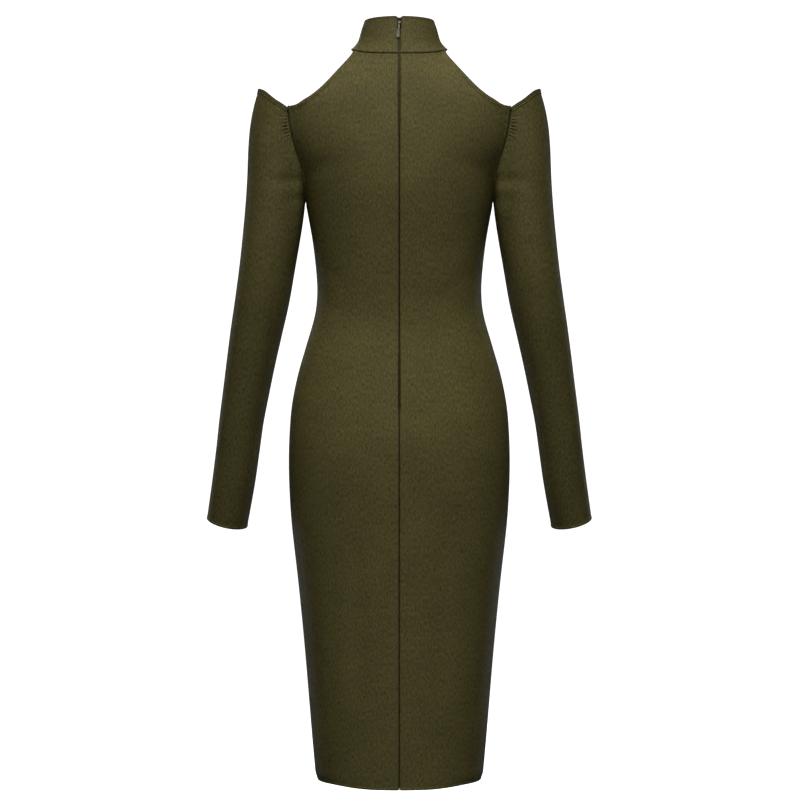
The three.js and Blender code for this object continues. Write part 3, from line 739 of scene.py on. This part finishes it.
COLLAR_TURNS = steps(0, math.pi, 96, crowd_start=0.8)
COLLAR_SHARES = steps(0, 1, 34, crowd_start=0.8, crowd_end=0.8)
points = []
for share in COLLAR_SHARES:
    left = [collar_point(turn, share) for turn in COLLAR_TURNS]
    left[-1].x = 0
    points.append(left + [Vector((-point.x, point.y, point.z)) for point in reversed(left[:-1])])
flat = []
for row, share in zip(points, COLLAR_SHARES):
    lengths = across(row)
    widths = [(length / lengths[-1] - 0.5) * COLLAR_FLAT["width"] for length in lengths]
    flat.append([(width, share * COLLAR["top"]) for width in widths])
neck_points = [torso_point(face, share, NECK_HEIGHT) for face in (1, -1) for share in steps(0, 1, 200)]
collar_seams = line_of(neck_points + [collar_point(0, share) for share in steps(0, 1, 100)])
collar_top = line_of([collar_point(turn, 1) for turn in steps(0, math.pi, 500)])
collar_bottom = line_of([collar_point(turn, 0) for turn in steps(0, math.pi, 500)])


def collar_relief(place, row, column):
    """The fine form of the collar: its seams, its folded top edge and the stitching under it."""
    spot = left_spot(place)
    from_top = collar_top.find(spot)[2]
    sunk = sum(bell(from_top - down, TOP_ROWS["half_width"]) for down in TOP_ROWS["down"])
    return sewn(collar_seams.find(spot)[2]) + rolled(from_top) - TOP_ROWS["depth"] * sunk


cloth = lay_cloth(points, flat, collar_relief, [collar_seams, collar_top, collar_bottom], mirrored=True)
cloth_piece("stand_collar", cloth, ["collar"])

# Each sleeve is a long tapered tube with one seam under the arm. Its cap stands free of the shoulder in a
# rounded point with a turned and stitched edge, and below it the fullness is eased into the armhole, which
# leaves a fan of short puckers beside the seam.
CAP_PEAK = {"x": 0.2037, "height": 1.002}
CUFF = {"height": 0.3732, "tilt": 0.003}
CORNER_TURN = math.radians(100)
OFFSET_REACH = 0.09
STATION_STEPS = 6

# The free cap edge from behind, from the armhole's corner (0) to the peak (1): share across, share up.
CAP_LINE = [(0, 0), (0.2, 0.2), (0.38, 0.37), (0.56, 0.58), (0.75, 0.815), (0.9, 0.945), (1, 1)]

# Height of the section's centre above the hem, x, y, half width, half depth.
SLEEVE_SECTIONS = [
    (0.373, 0.2544, -0.0735, 0.0306, 0.031),
    (0.434, 0.2437, -0.057, 0.0317, 0.0318),
    (0.479, 0.237, -0.046, 0.032, 0.0324),
    (0.523, 0.2309, -0.036, 0.0326, 0.0334),
    (0.567, 0.2233, -0.027, 0.034, 0.035),
    (0.61, 0.2157, -0.0185, 0.0357, 0.037),
    (0.654, 0.2074, -0.011, 0.0377, 0.0398),
    (0.697, 0.199, -0.005, 0.0394, 0.0426),
    (0.741, 0.192, -0.0015, 0.0403, 0.045),
    (0.784, 0.1861, 0, 0.0415, 0.0466),
    (0.828, 0.1813, 0, 0.0422, 0.0478),
    (0.87, 0.1783, 0, 0.0424, 0.0487),
    (0.915, 0.175, 0, 0.0441, 0.049),
    (0.944, 0.171, 0, 0.0464, 0.0488),
    (0.97, 0.166, 0, 0.0472, 0.048),
    (1.002, 0.16, 0, 0.0448, 0.046),
]
sleeve_x = curve(SLEEVE_SECTIONS, 1)
sleeve_y = curve(SLEEVE_SECTIONS, 2)
sleeve_half_width = curve(SLEEVE_SECTIONS, 3)
sleeve_half_depth = curve(SLEEVE_SECTIONS, 4)
cap_rise = curve(CAP_LINE)


def sleeve_axis(height):
    """The middle of the sleeve at this height."""
    return Vector((sleeve_x(height), sleeve_y(height), height - NECK_HEIGHT))


def sleeve_direction(height):
    """The way down the arm."""
    return (sleeve_axis(height - 0.001) - sleeve_axis(height + 0.001)).normalized()


def tube_point(height, turn):
    """A point of the uncut tube. The turn is 0 outside the arm and a right angle behind it."""
    down = sleeve_direction(height)
    outward = Vector((1, 0, 0))
    outward = (outward - down * outward.dot(down)).normalized()
    backward = outward.cross(down)
    sideways = outward * (sleeve_half_width(height) * math.cos(turn))
    return sleeve_axis(height) + sideways + backward * (sleeve_half_depth(height) * math.sin(turn))


def station_of(point):
    """The height of the section that a point lies in."""
    height = point.z + NECK_HEIGHT
    for _ in range(STATION_STEPS):
        height -= (point - sleeve_axis(height)).dot(sleeve_direction(height))
    return height


def sleeve_edge(turn):
    """The sleeve's upper edge: the free cap, and past the corner the armhole seam to the underarm."""
    around = abs(turn)
    if around < CORNER_TURN:
        part = around / CORNER_TURN * math.pi / 2
        corner = armhole_x(ARMHOLE_TOP)
        x = corner + (CAP_PEAK["x"] - corner) * math.cos(part) + SEAM_GAP
        height = ARMHOLE_TOP + (CAP_PEAK["height"] - ARMHOLE_TOP) * cap_rise(math.cos(part))
        y = ARMHOLE_HALF_DEPTH * math.sin(part)
    else:
        part = (around - CORNER_TURN) / (math.pi - CORNER_TURN) * math.pi / 2
        height = armhole_height(part)
        x = armhole_x(height) + SEAM_GAP
        y = ARMHOLE_HALF_DEPTH * math.cos(part)
    return Vector((x, math.copysign(y, turn), height - NECK_HEIGHT))


def cuff_height(turn):
    """The height of the section that the cuff ends in. Its inner side hangs a little lower."""
    return CUFF["height"] - CUFF["tilt"] * (1 - math.cos(turn)) / 2


PUCKERS = {
    "start": 0.961,
    "end": 0.932,
    "count": 7,
    "depth": 0.0009,
    "start_off": 0.002,
    "near": 0.005,
    "full": 0.008,
    "reach": 0.017,
    "fan": 0.3,
    "overrun": 0.2,
}
ALLOWANCE_RIDGE = {"place": 0.003, "half_width": 0.0014, "height": 0.0005}

# Faint rows of stitching above the cuff's edge: how far up, and how deep and wide they sink in.
CUFF_ROWS = {"up": (0.0075, 0.0105), "depth": 0.00022, "half_width": 0.0006}

# Creases of the sleeve: the height of each end and its turn in degrees, half width, and depth.
SLEEVE_CREASES = [
    (0.872, 168, 0.866, 84, 0.008, 0.0022),
    (0.848, 170, 0.838, 110, 0.008, 0.0012),
    (0.868, -160, 0.86, -100, 0.01, 0.0014),
    (0.668, -150, 0.674, -60, 0.007, 0.0014),
    (0.646, -130, 0.642, -40, 0.008, 0.0016),
    (0.622, -140, 0.63, -70, 0.006, 0.001),
    (0.64, 140, 0.72, 100, 0.011, 0.0009),
    (0.45, 30, 0.6, 62, 0.012, 0.0006),
    (0.47, 150, 0.56, 128, 0.01, 0.0007),
]

# How far a crease round the arm runs on past its ends, as a share of its length.
TURN_OVERRUN = 0.35
CORNER_ZONE = math.radians(120)


def half_turns(corner_steps):
    """The turns of the sleeve's columns on one side of it. They are closest beside the armhole's corner."""
    turns = steps(0, CORNER_TURN, 30)[:-1] + steps(CORNER_TURN, CORNER_ZONE, corner_steps)[:-1]
    return turns + steps(CORNER_ZONE, math.pi, 34, crowd_end=0.7)


SLEEVE_TURNS = [-turn for turn in reversed(half_turns(24)[1:])] + half_turns(76)
SLEEVE_SHARES = steps(0, 1, 175, crowd_start=0.86, crowd_end=0.86)

columns = []
for turn in SLEEVE_TURNS:
    edge = sleeve_edge(turn)
    start = station_of(edge)
    columns.append((turn, start, edge - tube_point(start, turn)))
left_points, heights = [], []
for share in reversed(SLEEVE_SHARES):
    row, row_heights = [], []
    for turn, start, offset in columns:
        height = start + (cuff_height(turn) - start) * share
        fade = 1 - smooth_step(start - height, 0, OFFSET_REACH)
        row.append(tube_point(height, turn) + offset * fade)
        row_heights.append(height)
    left_points.append(row)
    heights.append(row_heights)
cap_edge = line_of([sleeve_edge(turn) for turn in steps(-CORNER_TURN, CORNER_TURN, 500)])
cuff_edge = line_of([tube_point(cuff_height(turn), turn) for turn in steps(0, 2 * math.pi, 500)])
armhole_points = [sleeve_edge(turn) for turn in steps(CORNER_TURN, math.pi, 400)]
armhole_points += [sleeve_edge(-turn) for turn in steps(CORNER_TURN, math.pi, 400)]
armhole_seam = line_of(armhole_points)


def sleeve_relief(place, row, column):
    """The fine form of a sleeve: its edges, the eased armhole with its puckers, and the soft creases."""
    spot = left_spot(place)
    seam_point, _, from_seam = armhole_seam.find(spot)
    from_cuff = cuff_edge.find(spot)[2]
    move = turned(cap_edge.find(spot)[2]) + rolled(from_cuff)
    move -= CUFF_ROWS["depth"] * sum(bell(from_cuff - up, CUFF_ROWS["half_width"]) for up in CUFF_ROWS["up"])
    move -= SEAM["depth"] * bell(from_seam, SEAM["half_width"])
    from_ridge = from_seam - ALLOWANCE_RIDGE["place"]
    move += ALLOWANCE_RIDGE["height"] * bell(from_ridge, ALLOWANCE_RIDGE["half_width"])
    along = (seam_point.z + NECK_HEIGHT - PUCKERS["start"]) / (PUCKERS["end"] - PUCKERS["start"])
    overrun = PUCKERS["overrun"]
    if -overrun < along < 1 + overrun:
        window = math.sqrt(math.sin(math.pi * (along + overrun) / (1 + 2 * overrun)))
        reach = smooth_step(from_seam, PUCKERS["start_off"], PUCKERS["near"])
        reach *= 1 - smooth_step(from_seam, PUCKERS["full"], PUCKERS["reach"])
        fanned = (along - 0.5) / (1 + PUCKERS["fan"] * from_seam / PUCKERS["reach"])
        wave = math.cos(2 * math.pi * PUCKERS["count"] * fanned)
        move += PUCKERS["depth"] * window * reach * wave
    turn = math.degrees(SLEEVE_TURNS[column])
    height = heights[row][column]
    for start, start_turn, end, end_turn, half_width, depth in SLEEVE_CREASES:
        share = (turn - start_turn) / (end_turn - start_turn)
        if -TURN_OVERRUN < share < 1 + TURN_OVERRUN:
            fade = math.sin(math.pi * (share + TURN_OVERRUN) / (1 + 2 * TURN_OVERRUN)) ** 2
            move -= depth * fade * bell(height - start - (end - start) * share, half_width)
    under = math.pi * sleeve_half_width(height) * (1 - abs(turn) / 180)
    return move - SEAM["depth"] * bell(under, SEAM["half_width"])


for word, side in SIDES:
    points = [mirrored_line(row, side) for row in left_points]
    flat = []
    for row_heights in heights:
        girths = [sleeve_half_width(height) * turn for turn, height in zip(SLEEVE_TURNS, row_heights)]
        flat.append([(side * girth, height) for girth, height in zip(girths, row_heights)])
    lines = [cap_edge, cuff_edge, armhole_seam]
    cloth = lay_cloth(points, flat, sleeve_relief, lines, closed=True, mirrored=side < 0)
    nodes = [f"sleeve_{word}", f"sleeve_{word}_forearm"]
    cloth_piece(f"{word}_sleeve", cloth, nodes)

# Inside, the seams' allowances are pressed open and overlocked. Each is a narrow strip of the knit that
# runs behind its seam, close under both of the pieces that the seam joins.
ALLOWANCE = {"depth": 0.0026, "near": 0.0025, "far": 0.0065, "thickness": 0.0006, "pitch": 0.004}


def seam_frame(path, i, surface):
    """At a step of a seam's path: the cloth's normal there, and the way along the cloth off the seam."""
    along = path[min(i + 1, len(path) - 1)] - path[max(i - 1, 0)]
    _, normal, _, _ = surface.find_nearest(path[i])
    off = along.cross(normal).normalized()
    reach = ALLOWANCE["near"]
    if surface.find_nearest(path[i] - off * reach)[3] < surface.find_nearest(path[i] + off * reach)[3]:
        off = -off
    return normal, off


def allowance(name, path, first, second):
    """A seam's allowance strip, which runs behind the path between two pieces of cloth."""
    rows = []
    for i, point in enumerate(path):
        sides = [seam_frame(path, i, surfaces[cloth]) for cloth in (first, second)]
        places = []
        for cloth, (_, off) in zip((first, second), sides):
            for reach in (ALLOWANCE["far"], ALLOWANCE["near"]):
                place, normal, _, _ = surfaces[cloth].find_nearest(point + off * reach)
                places.append(place - normal * ALLOWANCE["depth"])
        inwards = -sum((normal + off for normal, off in sides), Vector()).normalized()
        middle = point + inwards * ALLOWANCE["depth"]
        rows.append([places[0], places[1], middle, places[3], places[2]])
    flat = []
    run = 0
    for i, row in enumerate(rows):
        run += (path[i] - path[max(i - 1, 0)]).length
        flat.append([(length, run) for length in across(row)])
    strip = new_piece(name, lay_cloth(rows, flat), KNIT)
    wall = strip.modifiers.new("thickness", "SOLIDIFY")
    wall.thickness = ALLOWANCE["thickness"]
    wall.offset = 0


def even_path(points):
    """The same line with its points about one pitch apart."""
    path = [points[0]]
    for point in points[1:]:
        if (point - path[-1]).length >= ALLOWANCE["pitch"]:
            path.append(point)
    return path


CENTRE_SEAM = [torso_point(1, 0, level) for level in steps(0.003, ZIP_END, 900)]
SIDE_SEAM = [torso_point(1, 1, level) for level in steps(0.003, UNDERARM - 0.002, 1200)]
BACK_ARMHOLE = [torso_point(1, 1, armhole_height(turn)) for turn in steps(0.004, math.pi / 2, 500)]
FRONT_ARMHOLE = [torso_point(-1, 1, armhole_height(turn)) for turn in steps(0.004, math.pi / 2, 500)]
BACK_COLLAR_SEAM = [torso_point(1, share, NECK_HEIGHT) for share in steps(0.03, 0.99, 300)]
FRONT_COLLAR_SEAM = [torso_point(-1, share, NECK_HEIGHT) for share in steps(0, 0.99, 300)]
allowance("centre_back_allowance", even_path(CENTRE_SEAM), "back_left", "back_right")
for word, side in SIDES:
    for kind, line, first, second in (
        ("side_seam", SIDE_SEAM, f"back_{word}", "front"),
        ("back_armhole", BACK_ARMHOLE, f"back_{word}", f"{word}_sleeve"),
        ("front_armhole", FRONT_ARMHOLE, "front", f"{word}_sleeve"),
        ("back_collar", BACK_COLLAR_SEAM, f"back_{word}", "stand_collar"),
        ("front_collar", FRONT_COLLAR_SEAM, "front", "stand_collar"),
    ):
        allowance(f"{kind}_allowance_{word}", even_path(mirrored_line(line, side)), first, second)

# The turned edges of the caps and halters are held by a single row of thread in the cloth's own colour.
# Each stitch is a short bar of thread that sinks into the knit at both ends.
STITCH = {"pitch": 0.0034, "length": 0.0024, "width": 0.0007, "height": 0.0005}
THREAD_COLOUR = (0.13, 0.115, 0.05)


def thread_material():
    """Twisted sewing thread, a shade lighter than the knit."""
    material, shader, shade = new_material("thread")
    place = shade.node("TexCoord", None, None, output="Object")
    twist = noise(place, 2500, 1)
    shader.inputs["Roughness"].default_value = 0.5
    colour = toned(THREAD_COLOUR, 0.7 + 0.6 * twist)
    connect(shader, {"Base Color": colour, "Normal": bumped(twist, 0.4, 0.0001)})
    return material


THREAD = thread_material()


def stitch_row(name, cloth_name, edge, flip):
    """A row of stitches that runs beside a free edge, on the cloth's outside. The flip is 1 or -1, so that
    the row lies on the cloth's side of the edge."""
    surface = surfaces[cloth_name]
    stitches = bmesh.new()
    shape = Matrix.Diagonal((STITCH["length"] / 2, STITCH["width"] / 2, STITCH["height"] / 2, 1))
    travelled, due = 0, STITCH["pitch"]
    for before, after in zip(edge, edge[1:]):
        travelled += (after - before).length
        if travelled < due:
            continue
        due += STITCH["pitch"]
        along = (after - before).normalized()
        _, normal, _, _ = surface.find_nearest(before)
        inset = normal.cross(along).normalized() * (flip * TURNED_EDGE["stitch_in"])
        place, normal, _, _ = surface.find_nearest(before + inset)
        side = normal.cross(along).normalized()
        along = side.cross(normal)
        turn = Matrix((along, side, normal)).transposed().to_4x4()
        bmesh.ops.create_uvsphere(
            stitches,
            u_segments=6,
            v_segments=4,
            radius=1,
            matrix=Matrix.Translation(place + normal * STITCH["height"] * 0.2) @ turn @ shape,
        )
    for face in stitches.faces:
        face.smooth = True
    return new_piece(name, stitches, THREAD)


CAP_EDGE = [sleeve_edge(turn) for turn in steps(-CORNER_TURN, CORNER_TURN, 700)]
for word, side in SIDES:
    for kind, cloth_name, edge, flip in (
        ("cap", f"{word}_sleeve", CAP_EDGE, -side),
        ("back_halter", f"back_{word}", halter_edge(1), side),
        ("front_halter", "front", halter_edge(-1), -side),
    ):
        stitch_row(f"{kind}_stitches_{word}", cloth_name, mirrored_line(edge, side), flip)

# The concealed zip lies behind the slot. Its two woven tapes are folded towards each other, so that only
# their folds show, as a narrow strip between the edges of the cloth.
ZIP_TAPE = {
    "width": 0.01,
    "thickness": 0.001,
    "clearance": 0.0006,
    "fold": 0.00055,
    "fold_depth": 0.0006,
    "sunk_depth": 0.0024,
    "nose": 0.0004,
}
ZIP_TOP_SHARE = 0.85

# Where the cloth beside the zip is measured: the share across a back panel, the turn round the collar.
ZIP_SIDE_SHARE = 1 / 12
ZIP_SIDE_TURN = math.radians(10)
ZIP_ROWS = 240
COLLAR_ROWS = 30


def zip_line():
    """What the zip follows from its lower end to its top: the middle of the back, the cloth beside it, and
    the depth of the tapes' folds."""
    line = []
    for level in steps(ZIP_END, NECK_HEIGHT, ZIP_ROWS):
        ending = smooth_step(level, ZIP_END + SLOT_TAPER, ZIP_END)
        deeper = (ZIP_TAPE["sunk_depth"] - ZIP_TAPE["fold_depth"]) * (sunk_zip(level) + ending)
        beside = torso_point(1, ZIP_SIDE_SHARE, level)
        line.append((torso_point(1, 0, level), beside, ZIP_TAPE["fold_depth"] + deeper))
    for share in steps(0.02, ZIP_TOP_SHARE, COLLAR_ROWS):
        beside = collar_point(ZIP_SIDE_TURN, share)
        line.append((collar_point(0, share), beside, ZIP_TAPE["fold_depth"]))
    return line


ZIP_LINE = zip_line()


def zip_frame(i):
    """The middle of the zip at a step, the way inwards there, and how fast the cloth bends away."""
    middle, beside, _ = ZIP_LINE[i]
    before, after = ZIP_LINE[max(i - 1, 0)][0], ZIP_LINE[min(i + 1, len(ZIP_LINE) - 1)][0]
    inwards = Vector((0, before.z - after.z, after.y - before.y)).normalized()
    return middle, inwards, (middle.y - beside.y) / beside.x ** 2


def tape_section(shallow):
    """The closed outline of a folded tape: x from the middle, and depth below the cloth's outside."""
    inside = CLOTH + ZIP_TAPE["clearance"]
    behind = inside + ZIP_TAPE["thickness"]
    inner, outer, nose = SEAM_GAP / 2, ZIP_TAPE["fold"], ZIP_TAPE["nose"]
    turns = steps(0, math.pi / 2, 4)
    outline = [(inner + nose * (1 - math.cos(a)), shallow + nose * (1 - math.sin(a))) for a in turns]
    outline += [(outer, shallow + nose * 0.25), (outer, inside)]
    outline += [(x, inside) for x in steps(outer + 0.001, ZIP_TAPE["width"], 5)]
    outline += [(x, behind) for x in steps(ZIP_TAPE["width"], 0.002, 5)]
    return outline + [(inner, behind), outline[0]]


# The tape's colours: its fold where it lies in the open slot, and a near black that is painted shade.
TAPE_COLOUR = {"fold": (0.07, 0.062, 0.032, 1), "shaded": (0.02, 0.018, 0.01, 1)}
TAPE_RIB = 0.0009

# How far round from its nose, and from which height up, the fold is left out of the painted shade.
UNSHADED_FOLD = {"near": 0.0007, "far": 0.0012, "low": -0.13, "high": -0.09}


def tape_material():
    """A fine woven tape: ribs across its length, in a greyer green than the knit. It is painted nearly black
    as shade in the slot, but not on its fold along the upper part, where it lies in the open slot."""
    material, shader, shade = new_material("zip_tape")
    measure = shade.node("UVMap", {"uv_map": "measure"})
    from_nose = shade.node("SeparateXYZ", None, {"Vector": measure})
    place = shade.node("TexCoord", None, None, output="Object")
    apart = shade.node("SeparateXYZ", None, {"Vector": place})
    z = Shade(shade.tree, apart.socket.node.outputs["Z"])
    ribs = shade.maths("SINE", z * (2 * math.pi / TAPE_RIB)) * 0.5 + 0.5
    grain = noise(place, 500)
    fold = soft_ramp(from_nose, UNSHADED_FOLD["near"], UNSHADED_FOLD["far"], 1.0, 0.0)
    upper = soft_ramp(z, UNSHADED_FOLD["low"], UNSHADED_FOLD["high"], 0.0, 1.0)
    # Painted shade: near black everywhere but on the fold in the open upper part of the slot.
    painted_shade = blended(TAPE_COLOUR["shaded"], TAPE_COLOUR["fold"], fold * upper)
    colour = toned(painted_shade, 0.75 + 0.25 * ribs + 0.7 * (grain - 0.5))
    shader.inputs["Roughness"].default_value = 0.6
    connect(shader, {"Base Color": colour, "Normal": bumped(ribs, 0.5, 0.0002)})
    return material


TAPE = tape_material()


def close_ends(shape):
    """Fills the open ends of a tube and turns its faces outwards."""
    bmesh.ops.holes_fill(shape, edges=[edge for edge in shape.edges if edge.is_boundary])
    bmesh.ops.recalc_face_normals(shape, faces=shape.faces)
    return shape


for word, side in SIDES:
    points, flat = [], []
    run = 0
    for i, (middle, _, shallow) in enumerate(ZIP_LINE):
        middle, inwards, bend = zip_frame(i)
        run += (middle - ZIP_LINE[max(i - 1, 0)][0]).length
        row = []
        for x, depth in tape_section(shallow):
            place = middle + inwards * (depth + bend * x ** 2)
            row.append(Vector((side * x, place.y, place.z)))
        points.append(row)
        flat.append([(length, run) for length in across(row)])
    tape = close_ends(lay_cloth(points, flat, closed=True, mirrored=side < 0))
    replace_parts(new_piece(f"{word}_zip_tape", tape, TAPE), f"zip_tape_{word}")

# The zip's teeth are two coils of nylon thread, sewn to the inside of the tapes and hooked into each other
# along the middle. Nobody sees them from behind.
COIL = {"pitch": 0.0012, "half_width": 0.0013, "half_depth": 0.0006, "thread": 0.00022, "middle": 0.001}
COIL_STEPS = 8
COIL_SIDES = 4
NYLON_COLOUR = (0.09, 0.08, 0.04)


def nylon_material():
    """Dull olive nylon."""
    material, shader, shade = new_material("nylon")
    grain = noise(shade.node("TexCoord", None, None, output="Object"), 800, 1)
    shader.inputs["Roughness"].default_value = 0.35
    connect(shader, {"Base Color": toned(NYLON_COLOUR, 0.7 + 0.6 * grain)})
    return material


def zip_point(run, run_per_step):
    """The zip's middle and its way inwards at a length along it."""
    i = min(int(run / run_per_step), len(ZIP_LINE) - 2)
    middle, inwards, _ = zip_frame(i)
    return middle.lerp(ZIP_LINE[i + 1][0], run / run_per_step - i), inwards


NYLON = nylon_material()
zip_length = sum((after[0] - before[0]).length for before, after in zip(ZIP_LINE, ZIP_LINE[1:]))
coil_depth = CLOTH + ZIP_TAPE["clearance"] + ZIP_TAPE["thickness"] + COIL["half_depth"] + COIL["thread"]
for word, side in SIDES:
    count = int(zip_length / COIL["pitch"]) * COIL_STEPS
    centres = []
    for i in range(count + 1):
        turn = 2 * math.pi * i / COIL_STEPS
        middle, inwards = zip_point(zip_length * i / count, zip_length / (len(ZIP_LINE) - 1))
        out = side * (COIL["middle"] + COIL["half_width"] * math.cos(turn + (0 if side > 0 else math.pi)))
        place = middle + inwards * (coil_depth + COIL["half_depth"] * math.sin(turn))
        centres.append(Vector((out, place.y, place.z)))
    points = []
    for i, centre in enumerate(centres):
        along = (centres[min(i + 1, count)] - centres[max(i - 1, 0)]).normalized()
        spoke = along.orthogonal().normalized()
        turns = [Matrix.Rotation(2 * math.pi * k / COIL_SIDES, 3, along) for k in range(COIL_SIDES + 1)]
        points.append([centre + turn @ spoke * COIL["thread"] for turn in turns])
    flat = [[(0, 0)] * (COIL_SIDES + 1)] * (count + 1)
    new_piece(f"{word}_coil", close_ends(lay_cloth(points, flat, closed=True)), NYLON)

# The slider is a small casting in dark lacquer. Its pull tab is a teardrop of worn nickel, and both have
# edges that are rounded by tumbling.


def metal_material(name, colour, roughness, metallic):
    """A metal part with slow smudges and fine scratches."""
    material, shader, shade = new_material(name)
    place = shade.node("TexCoord", None, None, output="Object")
    smudges = noise(place, 260, 3)
    worn = toned(colour, 0.55 + 0.9 * smudges)
    relief = bumped(smudges + 0.3 * noise(place, 1500), 0.25, 0.0002)
    shader.inputs["Metallic"].default_value = metallic
    connect(shader, {"Base Color": worn, "Roughness": roughness + 0.3 * (smudges - 0.5), "Normal": relief})
    return material


EDGE_ROUNDING = 0.00022
METAL_PARTS = {
    "zip_slider": metal_material("dark_lacquer", (0.02, 0.019, 0.012), 0.4, 0.0),
    "zip_pull_tab": metal_material("nickel", (0.19, 0.185, 0.15), 0.5, 1.0),
}
for node, material in METAL_PARTS.items():
    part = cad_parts[node]
    part.data.materials.clear()
    part.data.materials.append(material)
    rounding = part.modifiers.new("rounded edges", "BEVEL")
    rounding.width = EDGE_ROUNDING
    rounding.segments = 2
    rounding.limit_method = "ANGLE"
    rounding.angle_limit = math.radians(50)

# The floor and walls are one white sweep all round, like a studio's. It shows behind the dress and throws
# no light on it, so that the cloth keeps its dark outline.
SWEEP = {"floor": -1.36, "radius": 7, "corner": 1.5, "top": 7}

outline = [(0.001, SWEEP["floor"]), (SWEEP["radius"] - SWEEP["corner"], SWEEP["floor"])]
for turn in steps(0, math.pi / 2, 12)[1:]:
    outline.append((
        SWEEP["radius"] - SWEEP["corner"] * (1 - math.sin(turn)),
        SWEEP["floor"] + SWEEP["corner"] * (1 - math.cos(turn)),
    ))
outline.append((SWEEP["radius"], SWEEP["top"]))
sweep = bmesh.new()
verts = [sweep.verts.new((x, 0, z)) for x, z in outline]
edges = [sweep.edges.new(pair) for pair in zip(verts, verts[1:])]
bmesh.ops.spin(
    sweep, geom=verts + edges, axis=(0, 0, 1), cent=(0, 0, 0), steps=96, angle=2 * math.pi, use_merge=True
)
bmesh.ops.recalc_face_normals(sweep, faces=sweep.faces)
for face in sweep.faces:
    face.smooth = True
mesh = bpy.data.meshes.new("studio_sweep")
sweep.to_mesh(mesh)
sweep.free()
backdrop = bpy.data.objects.new("studio_sweep", mesh)
bpy.context.scene.collection.objects.link(backdrop)
white, shader, _ = new_material("studio_white")
shader.inputs["Base Color"].default_value = (0.8, 0.8, 0.8, 1)
shader.inputs["Emission Color"].default_value = (1, 1, 1, 1)
shader.inputs["Emission Strength"].default_value = 1.0
mesh.materials.append(white)
backdrop.visible_diffuse = False
backdrop.visible_glossy = False
backdrop.visible_shadow = False

# Soft boxes: a broad key high above the camera's side, a low fill under the camera, a box at each side that
# stands a little before the dress and edges it with light, and a dimmer one for the dress's front.
LIGHTS = [
    ("key", (0, 2.1, 4.4), (0, 0, -0.5), (1.6, 1.4), 310),
    ("fill", (0, 2.6, -1.2), (0, 0, -0.6), (1.2, 0.8), 18),
    ("side_left", (1.5, -1.8, -0.6), (0, 0, -0.7), (0.6, 1.6), 6),
    ("side_right", (-1.5, -1.8, -0.6), (0, 0, -0.7), (0.6, 1.6), 6),
    ("front", (0.3, -2.8, 0.9), (0, 0, -0.5), (1.6, 1.6), 30),
]
for name, place, target, (width, height), power in LIGHTS:
    light = bpy.data.objects.new(name, bpy.data.lights.new(name, "AREA"))
    light.data.shape = "RECTANGLE"
    light.data.size = width
    light.data.size_y = height
    light.data.energy = power
    light.location = place
    light.rotation_euler = (Vector(target) - Vector(place)).to_track_quat("-Z", "Y").to_euler()
    bpy.context.scene.collection.objects.link(light)
world = bpy.data.worlds.new("studio")
world.use_nodes = True
world.node_tree.nodes["Background"].inputs["Color"].default_value = (1, 1, 1, 1)
world.node_tree.nodes["Background"].inputs["Strength"].default_value = 0.025
bpy.context.scene.world = world
